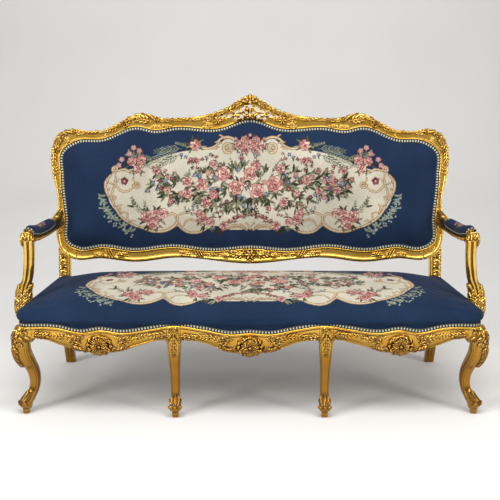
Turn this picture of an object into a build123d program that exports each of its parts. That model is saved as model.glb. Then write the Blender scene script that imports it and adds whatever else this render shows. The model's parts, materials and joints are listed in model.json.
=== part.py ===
from build123d import *

import os
from math import asin, atan2, ceil, cos, pi, radians, sin, sqrt, tan

# A carved and gilded three-seat settee with a serpentine show-wood frame.
#
# X runs across the settee, Y from front to back and Z up. Lengths are millimetres.
# The origin is on the floor, under the middle of the whole settee.
#
# How the real one is made: six legs, of which the two back ones run up as the stiles of the back.
# Tenoned rails join the legs, two cross rails brace them, and corner blocks are screwed in.
# The back frame is a bottom rail, two shoulders and a crest rail, tenoned end to end.
# Webbing, hessian, foam and the cover are tacked to the seat and to the back, and a braid hides the tacks.
# Each arm is tenoned to its stile and stands on a post that is lapped over the side rail and screwed.

# Cuts and fits
SAG = 2.4  # how far the straight chords of a curve in a drawing's plane may leave it
LINE_SAG = 1.0  # the same for the sawn lines of rails, legs and posts
CUT = 4.0  # how far a cutting solid runs past what it cuts
FIT = 0.2  # room round a tenon in its mortise, and round a screw
SOFT_FIT = 0.3  # room between upholstery and the wood that stands through it
TENON_LENGTH = 22.0
TENON_THICKNESS = 12.0
TENON_SHOULDER = 9.0  # how far a tenon's cheeks stand in from its rail's edges

# Seat frame, in plan
BACK_HALF_WIDTH = 844.0  # at the back's shoulders, the widest part of the back
SEAT_OVERHANG = 22.0  # how far the seat's front corners stand out past them
SEAT_HALF_WIDTH = BACK_HALF_WIDTH + SEAT_OVERHANG
STILE_INSET = 26.0  # how far the stiles' outer sides stand in from them
STILE_OUTER_X = BACK_HALF_WIDTH - STILE_INSET
SEAT_FRONT = 331.0  # middle of the seat's front, in front of the origin of depth
SEAT_BACK = 236.0  # back face of the rear rail
SIDE_TUCK = 6.0  # how far the seat's sides end inside the stiles' outer sides
SIDE_TAPER = SEAT_OVERHANG + STILE_INSET + SIDE_TUCK  # how much each side draws in towards the back
BOW = 38.0  # how far the middle of the front stands in front of its ends
FRONT_CORNER_RADIUS = 44.0
RAIL_THICKNESS = 32.0
REAR_CORNER_INSIDE = 6.0  # radius on the rails' inner side
REAR_CORNER_RADIUS = RAIL_THICKNESS + REAR_CORNER_INSIDE
REBATE = 4.0  # how far the show-wood stands in front of the tacked cover's ledge

# Seat frame, in height
RAIL_TOP = 368.0
SIDE_RAIL_DEPTH = 72.0
SIDE_SHOW_DEPTH = 48.0  # the part of it below the braid
FRONT_SHOW_TOP = 364.0  # where the show-wood of the front is highest, over the middle legs
FRONT_APRON_DROP = 123.0  # from there to the apron's lowest point
APRON_BEAD_WIDTH = 8.0
APRON_BEAD_HEIGHT = 4.0
# From the middle to the corner leg: share of the seat's half width, and of the drop below the top
SHOW_TOP_SHARES = [
    (0, 0.22), (0.080, 0.26), (0.200, 0.11), (0.325, 0.0), (0.420, 0.11), (0.557, 0.24), (0.635, 0.165),
    (0.725, 0.255), (0.820, 0.125), (1.02, 0.14),
]
APRON_EDGE_SHARES = [
    (0, 0.87), (0.090, 0.83), (0.190, 0.56), (0.260, 0.455), (0.370, 0.455), (0.470, 0.64), (0.600, 0.88),
    (0.730, 0.86), (0.800, 0.70), (0.880, 0.51), (1.02, 0.50),
]

# Front legs
KNEE_INSET = 12.0  # how far the corner knee's middle stands in from the seat's side
KNEE_SETBACK = 11.0  # and behind the front corner
CORNER_LEG_X = SEAT_HALF_WIDTH - KNEE_INSET
CORNER_LEG_Y = BOW - SEAT_FRONT + KNEE_SETBACK
MIDDLE_LEG_SHARE = 0.3245  # of the seat's half width
MIDDLE_KNEE_SETBACK = 14.0  # of the middle knee's middle, behind the front's middle
MIDDLE_LEG_X = MIDDLE_LEG_SHARE * SEAT_HALF_WIDTH
MIDDLE_LEG_Y = MIDDLE_KNEE_SETBACK - SEAT_FRONT
LEG_TOP = 320.0
KNEE_WIDTH = 64.0
MIDDLE_KNEE_WIDTH = 50.0
LEG_SWING = 33.0  # how far the ankle stands in from the knee
MIDDLE_LEG_SWING = 24.0
LEG_HEAD_WIDTH = 54.0
MIDDLE_HEAD_WIDTH = 50.0
LEG_HEAD_DEPTH = 54.0
FOOT_WIDTH = 27.0
FOOT_TAPER = 2.5
FOOT_HEIGHT = 24.0
TOE_SCROLL_RADIUS = 9.0
TOE_SCROLL_LENGTH = 46.0
TOE_SCROLL_REACH = 10.0  # how far the scroll's axis stands in front of the toe's middle
EDGE_ROUND_SHARE = 0.24  # of a leg's width, the radius of its edges
# Share of the leg's height, of its swing and of the knee's width
CORNER_LEG_SHARES = [
    (1.0, 0.09, 0.86), (0.86, 0.0, 0.90), (0.78, 0.02, 0.97), (0.71, 0.16, 1.0), (0.635, 0.40, 0.94),
    (0.534, 0.80, 0.76), (0.45, 0.97, 0.67), (0.36, 1.0, 0.62), (0.253, 0.78, 0.62), (0.175, 0.36, 0.72),
    (0.109, 0.04, 0.74), (0.072, 0.12, 0.58),
]
MIDDLE_LEG_SHARES = [
    (1.0, 0.10, 1.0), (0.86, 0.0, 1.0), (0.76, 0.12, 0.90), (0.66, 0.38, 0.82), (0.52, 0.80, 0.72),
    (0.36, 1.0, 0.68), (0.253, 0.80, 0.68), (0.175, 0.36, 0.76), (0.109, 0.0, 0.82), (0.072, 0.08, 0.62),
]

# Back stiles, which are the back legs below the seat
STILE_WIDTH = 50.0
STILE_DEPTH = 42.0
STILE_FOOT_WIDTH = 40.0
STILE_FOOT_DEPTH = 34.0
STILE_KICK = 64.0  # how far the foot stands behind the seat rail
STILE_KNOB_RADIUS = 9.0
STILE_KNOB_HEIGHT = 52.0
# Share of the way down from the rail's top to the floor, and of the kick
STILE_BACK_SHARES = [(0, 0), (0.30, -0.03), (0.62, 0.24), (0.86, 0.68), (1.0, 1.0)]

# Back frame, drawn in its own raked plane: x across, and height up the rake from where the plane starts
BACK_RAKE_DEGREES = 9.0
BACK_PLANE_SETBACK = 21.0  # how far the plane starts in front of the rear rail's back
BACK_PLANE_Y = SEAT_BACK - BACK_PLANE_SETBACK
BACK_PLANE_Z = 440.0
BACK_RISE = 737.0
# Shares of the half width and of the rise, from the crest's middle round to the bottom rail's middle
OUTER_EDGE_SHARES = [
    (0, 1.0), (0.110, 0.932), (0.290, 0.877), (0.440, 0.871), (0.545, 0.897), (0.640, 0.852), (0.735, 0.803),
    (0.887, 0.807), (0.985, 0.725), (0.997, 0.590), (0.968, 0.420), (0.968, 0.150),
    (0.900, 0.062), (0.750, 0.062), (0.580, 0.042), (0.380, 0.066), (0, 0.032),
]
SIGHT_EDGE_SHARES = [
    (0, 0.859), (0.160, 0.806), (0.370, 0.814), (0.480, 0.797), (0.560, 0.816), (0.740, 0.748),
    (0.870, 0.736), (0.940, 0.680), (0.947, 0.540), (0.930, 0.300), (0.918, 0.148),
    (0.865, 0.117), (0.740, 0.130), (0.590, 0.108), (0.390, 0.130), (0.190, 0.107), (0, 0.122),
]
FRAME_BACK = 24.0  # thickness behind the face of the tacking ledge
COVE_FLOOR = 4.0  # the moulding's hollow, in front of the ledge's face
OUTER_BEAD_WIDTH = 11.0
OUTER_BEAD_HEIGHT = 8.0
SIGHT_BEAD_WIDTH = 8.0
SIGHT_BEAD_HEIGHT = 6.0
LEDGE_WIDTH = 24.0
LEDGE_BACK = 18.0  # the ledge's thickness, which leaves a rebate behind it for the outside back
CREST_JOINT_SHARE = 0.738  # of the half width, where the crest rail meets the shoulder
SHOULDER_JOINT_SHARE = 0.462  # of the rise, where the shoulder meets the stile
BOTTOM_JOINT_SHARE = 0.872  # of the half width, where the bottom rail meets the stile
TONGUE_LENGTH = 44.0
TONGUE_WIDTH = 26.0
TONGUE_THICKNESS = 10.0
# Pierced openings of the crest, leaf shaped: middle as shares of the half width and rise, half length and
# half width as shares of the unit, and turn in degrees
PIERCING_UNIT = 10.0
PIERCING_SHARES = [
    (-0.050, 0.915, 1.7, 0.50, 118), (-0.030, 0.949, 1.0, 0.45, 55), (0.030, 0.950, 1.0, 0.45, 125),
    (0.050, 0.915, 1.7, 0.50, 62), (0.093, 0.893, 1.1, 0.42, 160), (-0.093, 0.893, 1.1, 0.42, 20),
]

# Carved shells: a fan of ribs from a hinge, on the apron and on the crest
SHELL_RIBS = 7
SHELL_HALF_WIDTH = 56.0
SHELL_LENGTH = 78.0
SHELL_HEIGHT = 13.0
SHELL_SPREAD_DEGREES = 105.0
SHELL_VALLEY_SHARE = 0.84
SHELL_HINGE_SHARE = 0.20
SHELL_STEP_SHARES = [(1.0, 0.0), (0.94, 0.45), (0.70, 0.85), (0.36, 1.0)]
APRON_SHELL_TOP = 322.0  # height of the hinge of the apron's shells
SIDE_SHELL_SHARE = 0.643  # of the seat's half width, where the outer shells are
CREST_SHELL_SCALE_SHARE = 0.80
CREST_SHELL_SHARE = 0.893  # of the rise, where the crest shell's hinge is
ROSETTE_RADIUS = 13.0
ROSETTE_HEIGHT = 7.0
ROSETTE_PETALS = 5
PETAL_SHARES = [(0.0, 0.72), (0.35, 1.0), (0.65, 1.0)]  # along a petal's turn, and of the radius
CREST_ROSETTE_SHARES = (0.165, 0.853)
RAIL_ROSETTE_SHARES = (0.0, 0.080)

# Arms
ARM_SEAT_INSET = 14.0  # from the stile's outer side to the middle of the arm's end
ARM_SEAT_X = STILE_OUTER_X - ARM_SEAT_INSET
ARM_SEAT_Z = 662.0
ARM_SEAT_WIDTH = 30.0
ARM_SEAT_HEIGHT = 62.0
ARM_SPREAD = 42.0  # how far the hand stands out from the stile
ARM_DIP = 24.0
ARM_WIDTH = 44.0
ARM_HEIGHT = 42.0
HAND_RADIUS = 25.0
HAND_WIDTH = 46.0
# Share of the reach, of the spread and of the dip, then of the arm's width and height
ARM_SHARES = [
    (-0.06, 0.0, -0.05, 0.68, 1.48), (0.04, 0.06, 0.10, 0.72, 1.30), (0.14, 0.22, 0.45, 0.80, 1.12),
    (0.28, 0.50, 0.84, 0.93, 1.0), (0.42, 0.72, 1.0, 1.0, 0.94), (0.58, 0.90, 0.94, 1.0, 0.92),
    (0.74, 1.0, 0.62, 1.0, 0.95), (0.88, 1.0, 0.15, 0.95, 1.0), (0.97, 1.0, 0.02, 0.90, 0.90),
]
HAND_DROP = 8.0  # how far the hand's middle lies under the arm's
PAD_WIDTH = 46.0
PAD_RISE = 26.0
PAD_SIDE = 8.0  # how far the pad's sides hang down the arm
# Round a section of the pad: share of its half width, and of its height
PAD_ROUND_SHARES = [(-1.0, 0.0), (-1.0, 0.42), (-0.72, 0.80), (0.0, 1.0), (0.72, 0.80), (1.0, 0.42), (1.0, 0.0)]
# Share of the reach, and of the pad's full section there
PAD_SIZE_SHARES = [(0.27, 0.55), (0.32, 0.88), (0.44, 1.0), (0.60, 1.0), (0.76, 1.0), (0.85, 0.90), (0.89, 0.62)]

# Arm posts
POST_SETBACK = 181.0  # from the seat's front to the middle of the post's foot
POST_Y = POST_SETBACK - SEAT_FRONT
HAND_OVERHANG = 60.0  # how far the hand runs past the middle of the post's foot
ARM_REACH = BACK_PLANE_Y - POST_Y + HAND_OVERHANG  # of the arm, from the stile to the front of its hand
POST_STAND = 37.0  # how far the post swells out past the seat's front corner
POST_OUTER_X = SEAT_HALF_WIDTH + POST_STAND
POST_DEPTH = 46.0
POST_WIDTH = 38.0
POST_TOP_Z = 650.0
POST_LEAN = 26.0  # how far the top stands in front of the foot
# Share of the height over the rail's top, and place across from the outermost face, as shares of the width
POST_OUTER_SHARES = [
    (-0.235, 0.95), (-0.10, 0.16), (0.05, 0.0), (0.19, 0.05), (0.33, 0.30), (0.44, 0.72), (0.60, 1.02),
    (0.80, 1.22), (1.0, 1.32),
]
POST_INNER_SHARES = [
    (-0.235, 1.60), (0.05, 1.55), (0.19, 1.48), (0.33, 1.62), (0.44, 1.80), (0.60, 2.02),
    (0.80, 2.20), (1.0, 2.32),
]
# Share of the height over the rail's top, of the lean, and of the depth
POST_SIDE_SHARES = [(-0.235, 0.05, 0.62), (0.0, 0.0, 1.0), (0.30, -0.35, 0.86), (0.65, 0.25, 0.74), (1.0, 1.0, 0.86)]

# Inside the seat
CROSS_RAIL_WIDTH = 42.0
CROSS_RAIL_DEPTH = 46.0
CROSS_RAIL_DROP = 12.0  # under the rails' tops, so that the webbing can give
BLOCK_LEG = 75.0
BLOCK_HEIGHT = 46.0
BLOCK_DROP = 14.0
SCREW_RADIUS = 2.6
SCREW_HEAD_RADIUS = 5.2
SCREW_HEAD_HEIGHT = 3.2
SCREW_SIDES = 6
BLOCK_SCREW_LENGTH = 46.0
POST_SCREW_LENGTH = 54.0
POST_SCREW_SHARES = (0.24, 0.66)  # of the side rail's depth
BLOCK_SCREW_SHARE = 0.66  # of a block's leg, from its corner
POST_NOTCH_SHARE = 0.66  # of the post's depth, half the seat's notch
POST_NOTCH_IN_SHARE = 0.05  # of the post's width, how far in the notch reaches past its foot
WEB_THICKNESS = 1.5
WEB_WIDTH = 50.0
SEAT_WEBS_ACROSS = 3
SEAT_WEBS_ALONG = 9
BACK_WEBS_ACROSS = 3
BACK_WEBS_UP = 8
HESSIAN_THICKNESS = 1.0
DUST_COVER_THICKNESS = 1.0
DUST_COVER_INSET = 8.0

# Upholstery
COVER_THICKNESS = 2.0
SEAT_CROWN = 76.0  # from the hessian to the top of the foam
COVER_DROP_SHARE = 0.30  # of the apron's drop, where the seat cover's skirt is cut
# Share of the crown, how far out as a share of the bulge, then shares of the plan
SEAT_BULGE = 14.0
SEAT_FORM_SHARES = [
    (0.0, 0.0, 1.0, 1.0), (0.07, 0.0, 1.0, 1.0), (0.13, 0.7, 1.0, 1.0), (0.21, 1.0, 1.0, 1.0),
    (0.34, 0.85, 0.997, 0.993), (0.52, 0.35, 0.985, 0.962), (0.70, 0.0, 0.945, 0.885), (0.87, 0.0, 0.83, 0.70),
    (1.0, 0.0, 0.52, 0.34),
]
BACK_CROWN = 32.0
EDGE_ROOM = 0.6  # between the back's upholstery and the sight edge
PAD_ROOM = 9.0  # between the braid and the pad's foot
BACK_FORM_SHARES = [(0.0, 1.0, 1.0), (0.30, 0.985, 0.978), (0.62, 0.955, 0.93), (0.86, 0.86, 0.78), (1.0, 0.60, 0.42)]
GIMP_WIDTH = 11.0
GIMP_THICKNESS = 2.0


class Outline:
    """A smooth chain of circular arcs. Each arc keeps its start, middle and end with outward normals."""

    def __init__(self, arcs):
        self.arcs = arcs

    @staticmethod
    def through(points, closed=False):
        """Two tangent arcs between each pair of points, taken clockwise so that normals point outwards."""
        points = [Vector(*p) for p in points]
        count = len(points)
        tangents = []
        for i, point in enumerate(points):
            if closed or 0 < i < count - 1:
                came = point - points[i - 1]
                goes = points[(i + 1) % count] - point
                blend = came.normalized() * goes.length + goes.normalized() * came.length
            else:
                blend = points[1] - points[0] if i == 0 else points[-1] - points[-2]
            tangents.append(blend.normalized())
        arcs = []
        for i in range(count if closed else count - 1):
            j = (i + 1) % count
            arcs += two_arcs(points[i], tangents[i], points[j], tangents[j])
        return Outline(arcs)

    def grown(self, distance):
        """The same chain, moved outwards by a distance, or inwards where it is negative."""
        return Outline([[(p + n * distance, n) for p, n in arc] for arc in self.arcs])

    def scaled(self, share_x, share_y, middle_y):
        """The chain drawn in towards a point on the centre line."""
        moved = []
        for arc in self.arcs:
            moved.append([(Vector(p.X * share_x, middle_y + (p.Y - middle_y) * share_y), n) for p, n in arc])
        return Outline(moved)

    def mirrored(self):
        """The chain's other half, across x = 0, run the same way round."""
        flipped = []
        for arc in reversed(self.arcs):
            flipped.append([(Vector(-p.X, p.Y), Vector(-n.X, n.Y)) for p, n in reversed(arc)])
        return Outline(flipped)

    def chords(self, sag):
        """How many equal chords each arc needs, so that none leaves it by more than a sag."""
        counts = []
        for (start, _), (middle, _), (end, _) in self.arcs:
            bulge = (middle - (start + end) * 0.5).length
            counts.append(max(1, ceil(sqrt(bulge / sag))))
        return counts

    def points(self, chords):
        """Points along the chain, at the ends of the chords."""
        return [along_arc(arc, k / count) for arc, count in zip(self.arcs, chords) for k in range(count)]

    def corners(self):
        """The points that the chain was drawn through."""
        return [arc[0][0] for arc in self.arcs[::2]]

    def edges(self, height=0.0):
        return [arc_edge(*[Vector(p.X, p.Y, height) for p, _ in arc]) for arc in self.arcs]

    def wire(self, height=0.0):
        return Wire(self.edges(height))

    def face(self, height=0.0):
        return Face(self.wire(height))


def arc_edge(start, middle, end):
    """An arc through three points, or a line where they lie in line."""
    bulge = (middle - (start + end) * 0.5).length
    if bulge < 1e-4 * (end - start).length:
        return Edge.make_line(start, end)
    return Edge.make_three_point_arc(start, middle, end)


def along_arc(arc, share):
    """The point at a share of an arc's length."""
    (start, first), _, (end, last) = arc
    change = last - first
    if change.length < 1e-9:
        return start + (end - start) * share
    radius = (end - start).dot(change) / change.dot(change)
    turn = atan2(first.X * last.Y - first.Y * last.X, first.dot(last)) * share
    normal = Vector(first.X * cos(turn) - first.Y * sin(turn), first.X * sin(turn) + first.Y * cos(turn))
    return start + (normal - first) * radius


def left_of(direction):
    return Vector(-direction.Y, direction.X)


def arc_leaving(start, end, direction):
    """The arc from start to end that leaves along direction, as points with normals, and how it arrives."""
    chord = end - start
    along = chord.normalized()
    turn = atan2(along.X * direction.Y - along.Y * direction.X, along.dot(direction))
    middle = (start + end) * 0.5 + left_of(along) * (chord.length / 2 * tan(turn / 2))
    arrival = along * (2 * along.dot(direction)) - direction
    return [(start, left_of(direction)), (middle, left_of(along)), (end, left_of(arrival))], arrival


def two_arcs(start, leaving, end, arriving):
    """Two tangent arcs that join two points with given directions."""
    chord = end - start
    spread = 1 - leaving.dot(arriving)
    reach = chord.dot(leaving + arriving)
    square = chord.dot(chord)
    if spread < 1e-9:
        step = square / (2 * reach)
    else:
        step = (sqrt(reach * reach + 2 * spread * square) - reach) / (2 * spread)
    joint = (start + end + (leaving - arriving) * step) * 0.5
    first, middle_direction = arc_leaving(start, joint, leaving)
    second, _ = arc_leaving(joint, end, middle_direction)
    return [first, second]


def mirrored_outline(shares, half_width, rise):
    """A closed outline from its right half, given as shares of the half width and the rise."""
    right = [(x * half_width, y * rise) for x, y in shares]
    left = [(-x, y) for x, y in reversed(right[1:-1])]
    return Outline.through(right + left, closed=True)


def prism(face, low, high):
    """A face drawn at height 0, extruded between two heights."""
    return Solid.extrude(face.moved(Location((0, 0, low))), Vector(0, 0, high - low))


def ring(outer, inner):
    return Face(outer.wire(), [inner.wire()])


FLAT_SHARE = 1e-9  # of a facet's diagonal, how far from flat a facet of four corners may be


def faceted(sections):
    """A loft through closed polygons with as many corners each: flat sides, split where they twist."""
    faces = [Face(Wire.make_polygon(sections[0])), Face(Wire.make_polygon(sections[-1]))]
    for lower, upper in zip(sections, sections[1:]):
        for i, corner in enumerate(lower):
            j = (i + 1) % len(lower)
            ends = [corner, lower[j], upper[j], upper[i]]
            normal = (ends[1] - ends[0]).cross(ends[3] - ends[0]).normalized()
            if abs((ends[2] - ends[0]).dot(normal)) < FLAT_SHARE * (ends[2] - ends[0]).length:
                faces.append(Face(Wire.make_polygon(ends)))
            else:
                faces.append(Face(Wire.make_polygon(ends[:3])))
                faces.append(Face(Wire.make_polygon([ends[0], ends[2], ends[3]])))
    return Solid(Shell(faces))


def at_height(points, height):
    return [Vector(point.X, point.Y, height) for point in points]


def polygon(points):
    return Face(Wire.make_polygon(points))


def box_between(low, high):
    size = [h - l for l, h in zip(low, high)]
    return Pos(*[(l + h) / 2 for l, h in zip(low, high)]) * Box(*size)


def grown_box(low, high, room):
    """The box between two corners, with room added all round."""
    return box_between([l - room for l in low], [h + room for h in high])


def other_side(shape):
    return mirror(shape, about=Plane.YZ)


def rounded(width, depth, radius, x=0.0, y=0.0):
    """The corners of a rectangle whose own corners are cut off."""
    points = []
    for k, (side, end) in enumerate([(1, 1), (1, -1), (-1, -1), (-1, 1)]):
        middle = Vector(x + side * (width / 2 - radius), y + end * (depth / 2 - radius))
        points += [middle + Vector(radius, 0).rotate(Axis.Z, turn - 90 * k) for turn in (90, 0)]
    return points


PARTS = {}


def save(name, shape):
    PARTS[name] = shape
    return shape


def save_pair(name, right):
    """The right-hand piece and its mirror image."""
    save(name + "_right", right)
    save(name + "_left", other_side(right))


def smooth_line(points):
    """Points along a smooth line through some others, in chords that leave it by no more than a sag."""
    chain = Outline.through(points)
    return chain.points(chain.chords(LINE_SAG)) + [chain.arcs[-1][2][0]]


def between(first, second):
    """A face between two open lines, joined by straight ends."""
    return polygon(smooth_line(first) + smooth_line(second)[::-1])


# Planes for the two drawings of a sawn piece, and for the raked back
FRONT_VIEW = Plane(origin=(0, 0, 0), x_dir=(1, 0, 0), z_dir=(0, -1, 0))
SIDE_VIEW = Plane(origin=(0, 0, 0), x_dir=(0, 1, 0), z_dir=(1, 0, 0))
RAKE = radians(BACK_RAKE_DEGREES)
BACK_PLANE = Plane(
    origin=(0, BACK_PLANE_Y, BACK_PLANE_Z), x_dir=(1, 0, 0), z_dir=(0, -cos(RAKE), sin(RAKE))
)


def front_cut(face, front, back):
    """A face drawn in front view, extruded from one depth to another."""
    return FRONT_VIEW.location * prism(face, -back, -front)


def side_cut(face, left, right):
    """A face drawn in side view, extruded from one side to the other."""
    return SIDE_VIEW.location * prism(face, left, right)


def raked(shape):
    """A shape drawn in the back's own plane, put in its place."""
    return BACK_PLANE.location * shape


# Seat plan
BOW_RADIUS = SEAT_HALF_WIDTH**2 / (2 * BOW) + BOW / 2
BOW_MIDDLE_Y = BOW_RADIUS - SEAT_FRONT


def fillet_middle(bow_room, side_point, side_normal, radius):
    """The middle of the front corner's arc: a radius inside the side line and inside the bow."""
    along = left_of(side_normal)
    start = side_point - side_normal * radius - Vector(0, BOW_MIDDLE_Y)
    half = start.dot(along)
    step = -half - sqrt(half * half - start.dot(start) + (bow_room - radius) ** 2)
    if (start + along * step).Y > 0:
        step = -half + sqrt(half * half - start.dot(start) + (bow_room - radius) ** 2)
    return start + along * step + Vector(0, BOW_MIDDLE_Y)


def bend(middle, radius, first, last):
    """An arc about a middle between two normals."""
    half_way = (first + last).normalized()
    return [(middle + normal * radius, normal) for normal in (first, half_way, last)]


def seat_plan():
    """Bowed front, rounded corners, tapering sides and a straight back."""
    back = Vector(0, 1)
    depth = SEAT_FRONT + SEAT_BACK
    side = Vector(depth, SIDE_TAPER).normalized()
    side_point = Vector(SEAT_HALF_WIDTH, BOW - SEAT_FRONT)
    corner = fillet_middle(BOW_RADIUS, side_point, side, FRONT_CORNER_RADIUS)
    front = (corner - Vector(0, BOW_MIDDLE_Y)).normalized()
    along = left_of(side)
    reach = (SEAT_BACK - REAR_CORNER_RADIUS - side_point.Y + side.Y * REAR_CORNER_RADIUS) / along.Y
    rear = side_point - side * REAR_CORNER_RADIUS + along * reach
    rear_end = rear + back * REAR_CORNER_RADIUS
    rear_start = Vector(0, SEAT_BACK)
    arcs = [[(rear_start, back), ((rear_start + rear_end) * 0.5, back), (rear_end, back)]]
    arcs.append(bend(rear, REAR_CORNER_RADIUS, back, side))
    side_start, side_end = arcs[-1][2][0], corner + side * FRONT_CORNER_RADIUS
    arcs.append([(side_start, side), ((side_start + side_end) * 0.5, side), (side_end, side)])
    arcs.append(bend(corner, FRONT_CORNER_RADIUS, side, front))
    arcs.append(bend(Vector(0, BOW_MIDDLE_Y), BOW_RADIUS, front, Vector(0, -1)))
    half = Outline(arcs)
    return Outline(half.arcs + half.mirrored().arcs)


SEAT_PLAN = seat_plan()
SEAT_CHORDS = SEAT_PLAN.chords(LINE_SAG)
SIDE_NORMAL = SEAT_PLAN.arcs[2][1][1]
SIDE_MIDDLE = SEAT_PLAN.arcs[2][1][0]


def side_x(y):
    """Where the seat's side line is at a depth."""
    return SIDE_MIDDLE.X - (y - SIDE_MIDDLE.Y) * SIDE_NORMAL.Y / SIDE_NORMAL.X


def bow_y(x):
    """Where the seat's front is at a place across."""
    return BOW_MIDDLE_Y - sqrt(BOW_RADIUS**2 - x**2)


MIDDLE_HEAD_INNER = MIDDLE_LEG_X - MIDDLE_HEAD_WIDTH / 2
MIDDLE_HEAD_OUTER = MIDDLE_LEG_X + MIDDLE_HEAD_WIDTH / 2
CORNER_HEAD_INNER = SEAT_HALF_WIDTH - LEG_HEAD_WIDTH
CORNER_HEAD_BACK = BOW - SEAT_FRONT + LEG_HEAD_DEPTH
STILE_INNER_X = STILE_OUTER_X - STILE_WIDTH
STILE_FRONT_Y = BACK_PLANE_Y - (BACK_PLANE_Z - RAIL_TOP) * tan(RAKE)
REAR_RAIL_FRONT = SEAT_BACK - RAIL_THICKNESS
SIDE_RAIL_BOTTOM = RAIL_TOP - SIDE_RAIL_DEPTH


def apron_line(shares):
    """A wavy line of the front, from the left end to the right, in front view."""
    right = [(x * SEAT_HALF_WIDTH, FRONT_SHOW_TOP - y * FRONT_APRON_DROP) for x, y in shares]
    return [(-x, z) for x, z in reversed(right[1:])] + right


def level_line(height):
    reach = 1.02 * SEAT_HALF_WIDTH
    return [(-reach, height), (0, height), (reach, height)]


def tenon(middle, along, width, thickness, height, room=0.0):
    """A tenon's box about a middle, which lies on the joint: half of it is in each piece."""
    size = [thickness, thickness, height]
    size[along] = 2 * width
    low = [m - s / 2 for m, s in zip(middle, size)]
    high = [m + s / 2 for m, s in zip(middle, size)]
    return grown_box(low, high, room)


def front_band():
    """The front rails in one: show-wood below the braid, and a tacking ledge above it."""
    front, back = -SEAT_FRONT - CUT - REBATE, -SEAT_FRONT + BOW + RAIL_THICKNESS + CUT
    inner = SEAT_PLAN.grown(-RAIL_THICKNESS)
    show = front_cut(between(apron_line(APRON_EDGE_SHARES), apron_line(SHOW_TOP_SHARES)), front, back)
    ledge = front_cut(between(apron_line(SHOW_TOP_SHARES), level_line(RAIL_TOP)), front, back)
    low = RAIL_TOP - FRONT_APRON_DROP - REBATE
    band = prism(ring(SEAT_PLAN.grown(REBATE), inner), low, RAIL_TOP) & show
    band += prism(ring(SEAT_PLAN, inner), low, RAIL_TOP) & ledge
    edge = apron_line(APRON_EDGE_SHARES)
    lip = [(x, z + APRON_BEAD_WIDTH) for x, z in edge]
    bead = front_cut(between(edge, lip), front - APRON_BEAD_HEIGHT, back)
    proud = ring(SEAT_PLAN.grown(REBATE + APRON_BEAD_HEIGHT), SEAT_PLAN.grown(REBATE))
    return band + (prism(proud, low, RAIL_TOP) & bead)


def rail_tenon(x, y, along, room=0.0):
    """The tenon of a seat rail at a joint, in the rail's middle."""
    height = SIDE_RAIL_DEPTH - 2 * TENON_SHOULDER
    middle = (x, y, RAIL_TOP - SIDE_RAIL_DEPTH / 2)
    return tenon(middle, along, TENON_LENGTH, TENON_THICKNESS, height, room)


# Joints of the seat's front, with the side of each that the leg is on
def front_joint_y(x):
    return bow_y(x) + RAIL_THICKNESS / 2


FRONT_JOINTS = [CORNER_HEAD_INNER, MIDDLE_HEAD_OUTER, MIDDLE_HEAD_INNER]
SIDE_RAIL_MIDDLE_INSET = RAIL_THICKNESS / 2
SIDE_JOINT_FRONT = (side_x(CORNER_HEAD_BACK) - SIDE_RAIL_MIDDLE_INSET, CORNER_HEAD_BACK)
SIDE_JOINT_BACK = (side_x(STILE_FRONT_Y) - SIDE_RAIL_MIDDLE_INSET, STILE_FRONT_Y)
REAR_JOINT = (STILE_INNER_X, (REAR_RAIL_FRONT + SEAT_BACK) / 2)
CROSS_JOINT_FRONT = (MIDDLE_LEG_X, bow_y(MIDDLE_LEG_X) + LEG_HEAD_DEPTH - REBATE)
CROSS_JOINT_BACK = (MIDDLE_LEG_X, REAR_RAIL_FRONT)


def cross_tenon(joint, room=0.0):
    height = CROSS_RAIL_DEPTH - 2 * TENON_SHOULDER
    middle = (joint[0], joint[1], RAIL_TOP - CROSS_RAIL_DROP - CROSS_RAIL_DEPTH / 2)
    return tenon(middle, 1, TENON_LENGTH / 2, TENON_THICKNESS, height, room)


def make_front_rails():
    band = front_band()
    front = -SEAT_FRONT - 4 * (CUT + REBATE)
    back = 0.0
    low, high = 0.0, RAIL_TOP + CUT
    centre = band & box_between((-MIDDLE_HEAD_INNER, front, low), (MIDDLE_HEAD_INNER, back, high))
    for x in (MIDDLE_HEAD_INNER, -MIDDLE_HEAD_INNER):
        centre += rail_tenon(x, front_joint_y(x), 0)
    save("front_rail_centre", centre)
    right = band & box_between((MIDDLE_HEAD_OUTER, front, low), (CORNER_HEAD_INNER, back, high))
    for x in (MIDDLE_HEAD_OUTER, CORNER_HEAD_INNER):
        right += rail_tenon(x, front_joint_y(x), 0)
    save_pair("front_rail", without(right, block_screws(FIT)))


def leg_loft(shares, knee_x, knee_y, swing_x, swing_y, width):
    """A cabriole leg: rounded squares whose middles swing in at the ankle and out at the toe."""
    sections = []
    for height_share, swing_share, width_share in shares:
        side = width * width_share
        x, y = knee_x + swing_x * swing_share, knee_y + swing_y * swing_share
        sections.append(at_height(rounded(side, side, side * EDGE_ROUND_SHARE, x, y), LEG_TOP * height_share))
    return faceted(sections)


def leg_foot(x, y):
    """The small tapered block that the leg stands on."""
    top = rounded(FOOT_WIDTH, FOOT_WIDTH, FOOT_WIDTH * EDGE_ROUND_SHARE, x, y)
    width = FOOT_WIDTH - 2 * FOOT_TAPER
    bottom = rounded(width, width, width * EDGE_ROUND_SHARE, x, y)
    return faceted([at_height(top, FOOT_HEIGHT + CUT), at_height(bottom, 0)])


def toe_scroll(x, y, across):
    """The rolled end of the toe's leaf: a short bar with a ball at each end."""
    middle = Vector(x, y, LEG_TOP * 0.115)
    bar = Plane(origin=middle, z_dir=across).location * Cylinder(TOE_SCROLL_RADIUS, TOE_SCROLL_LENGTH)
    return bar


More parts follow.
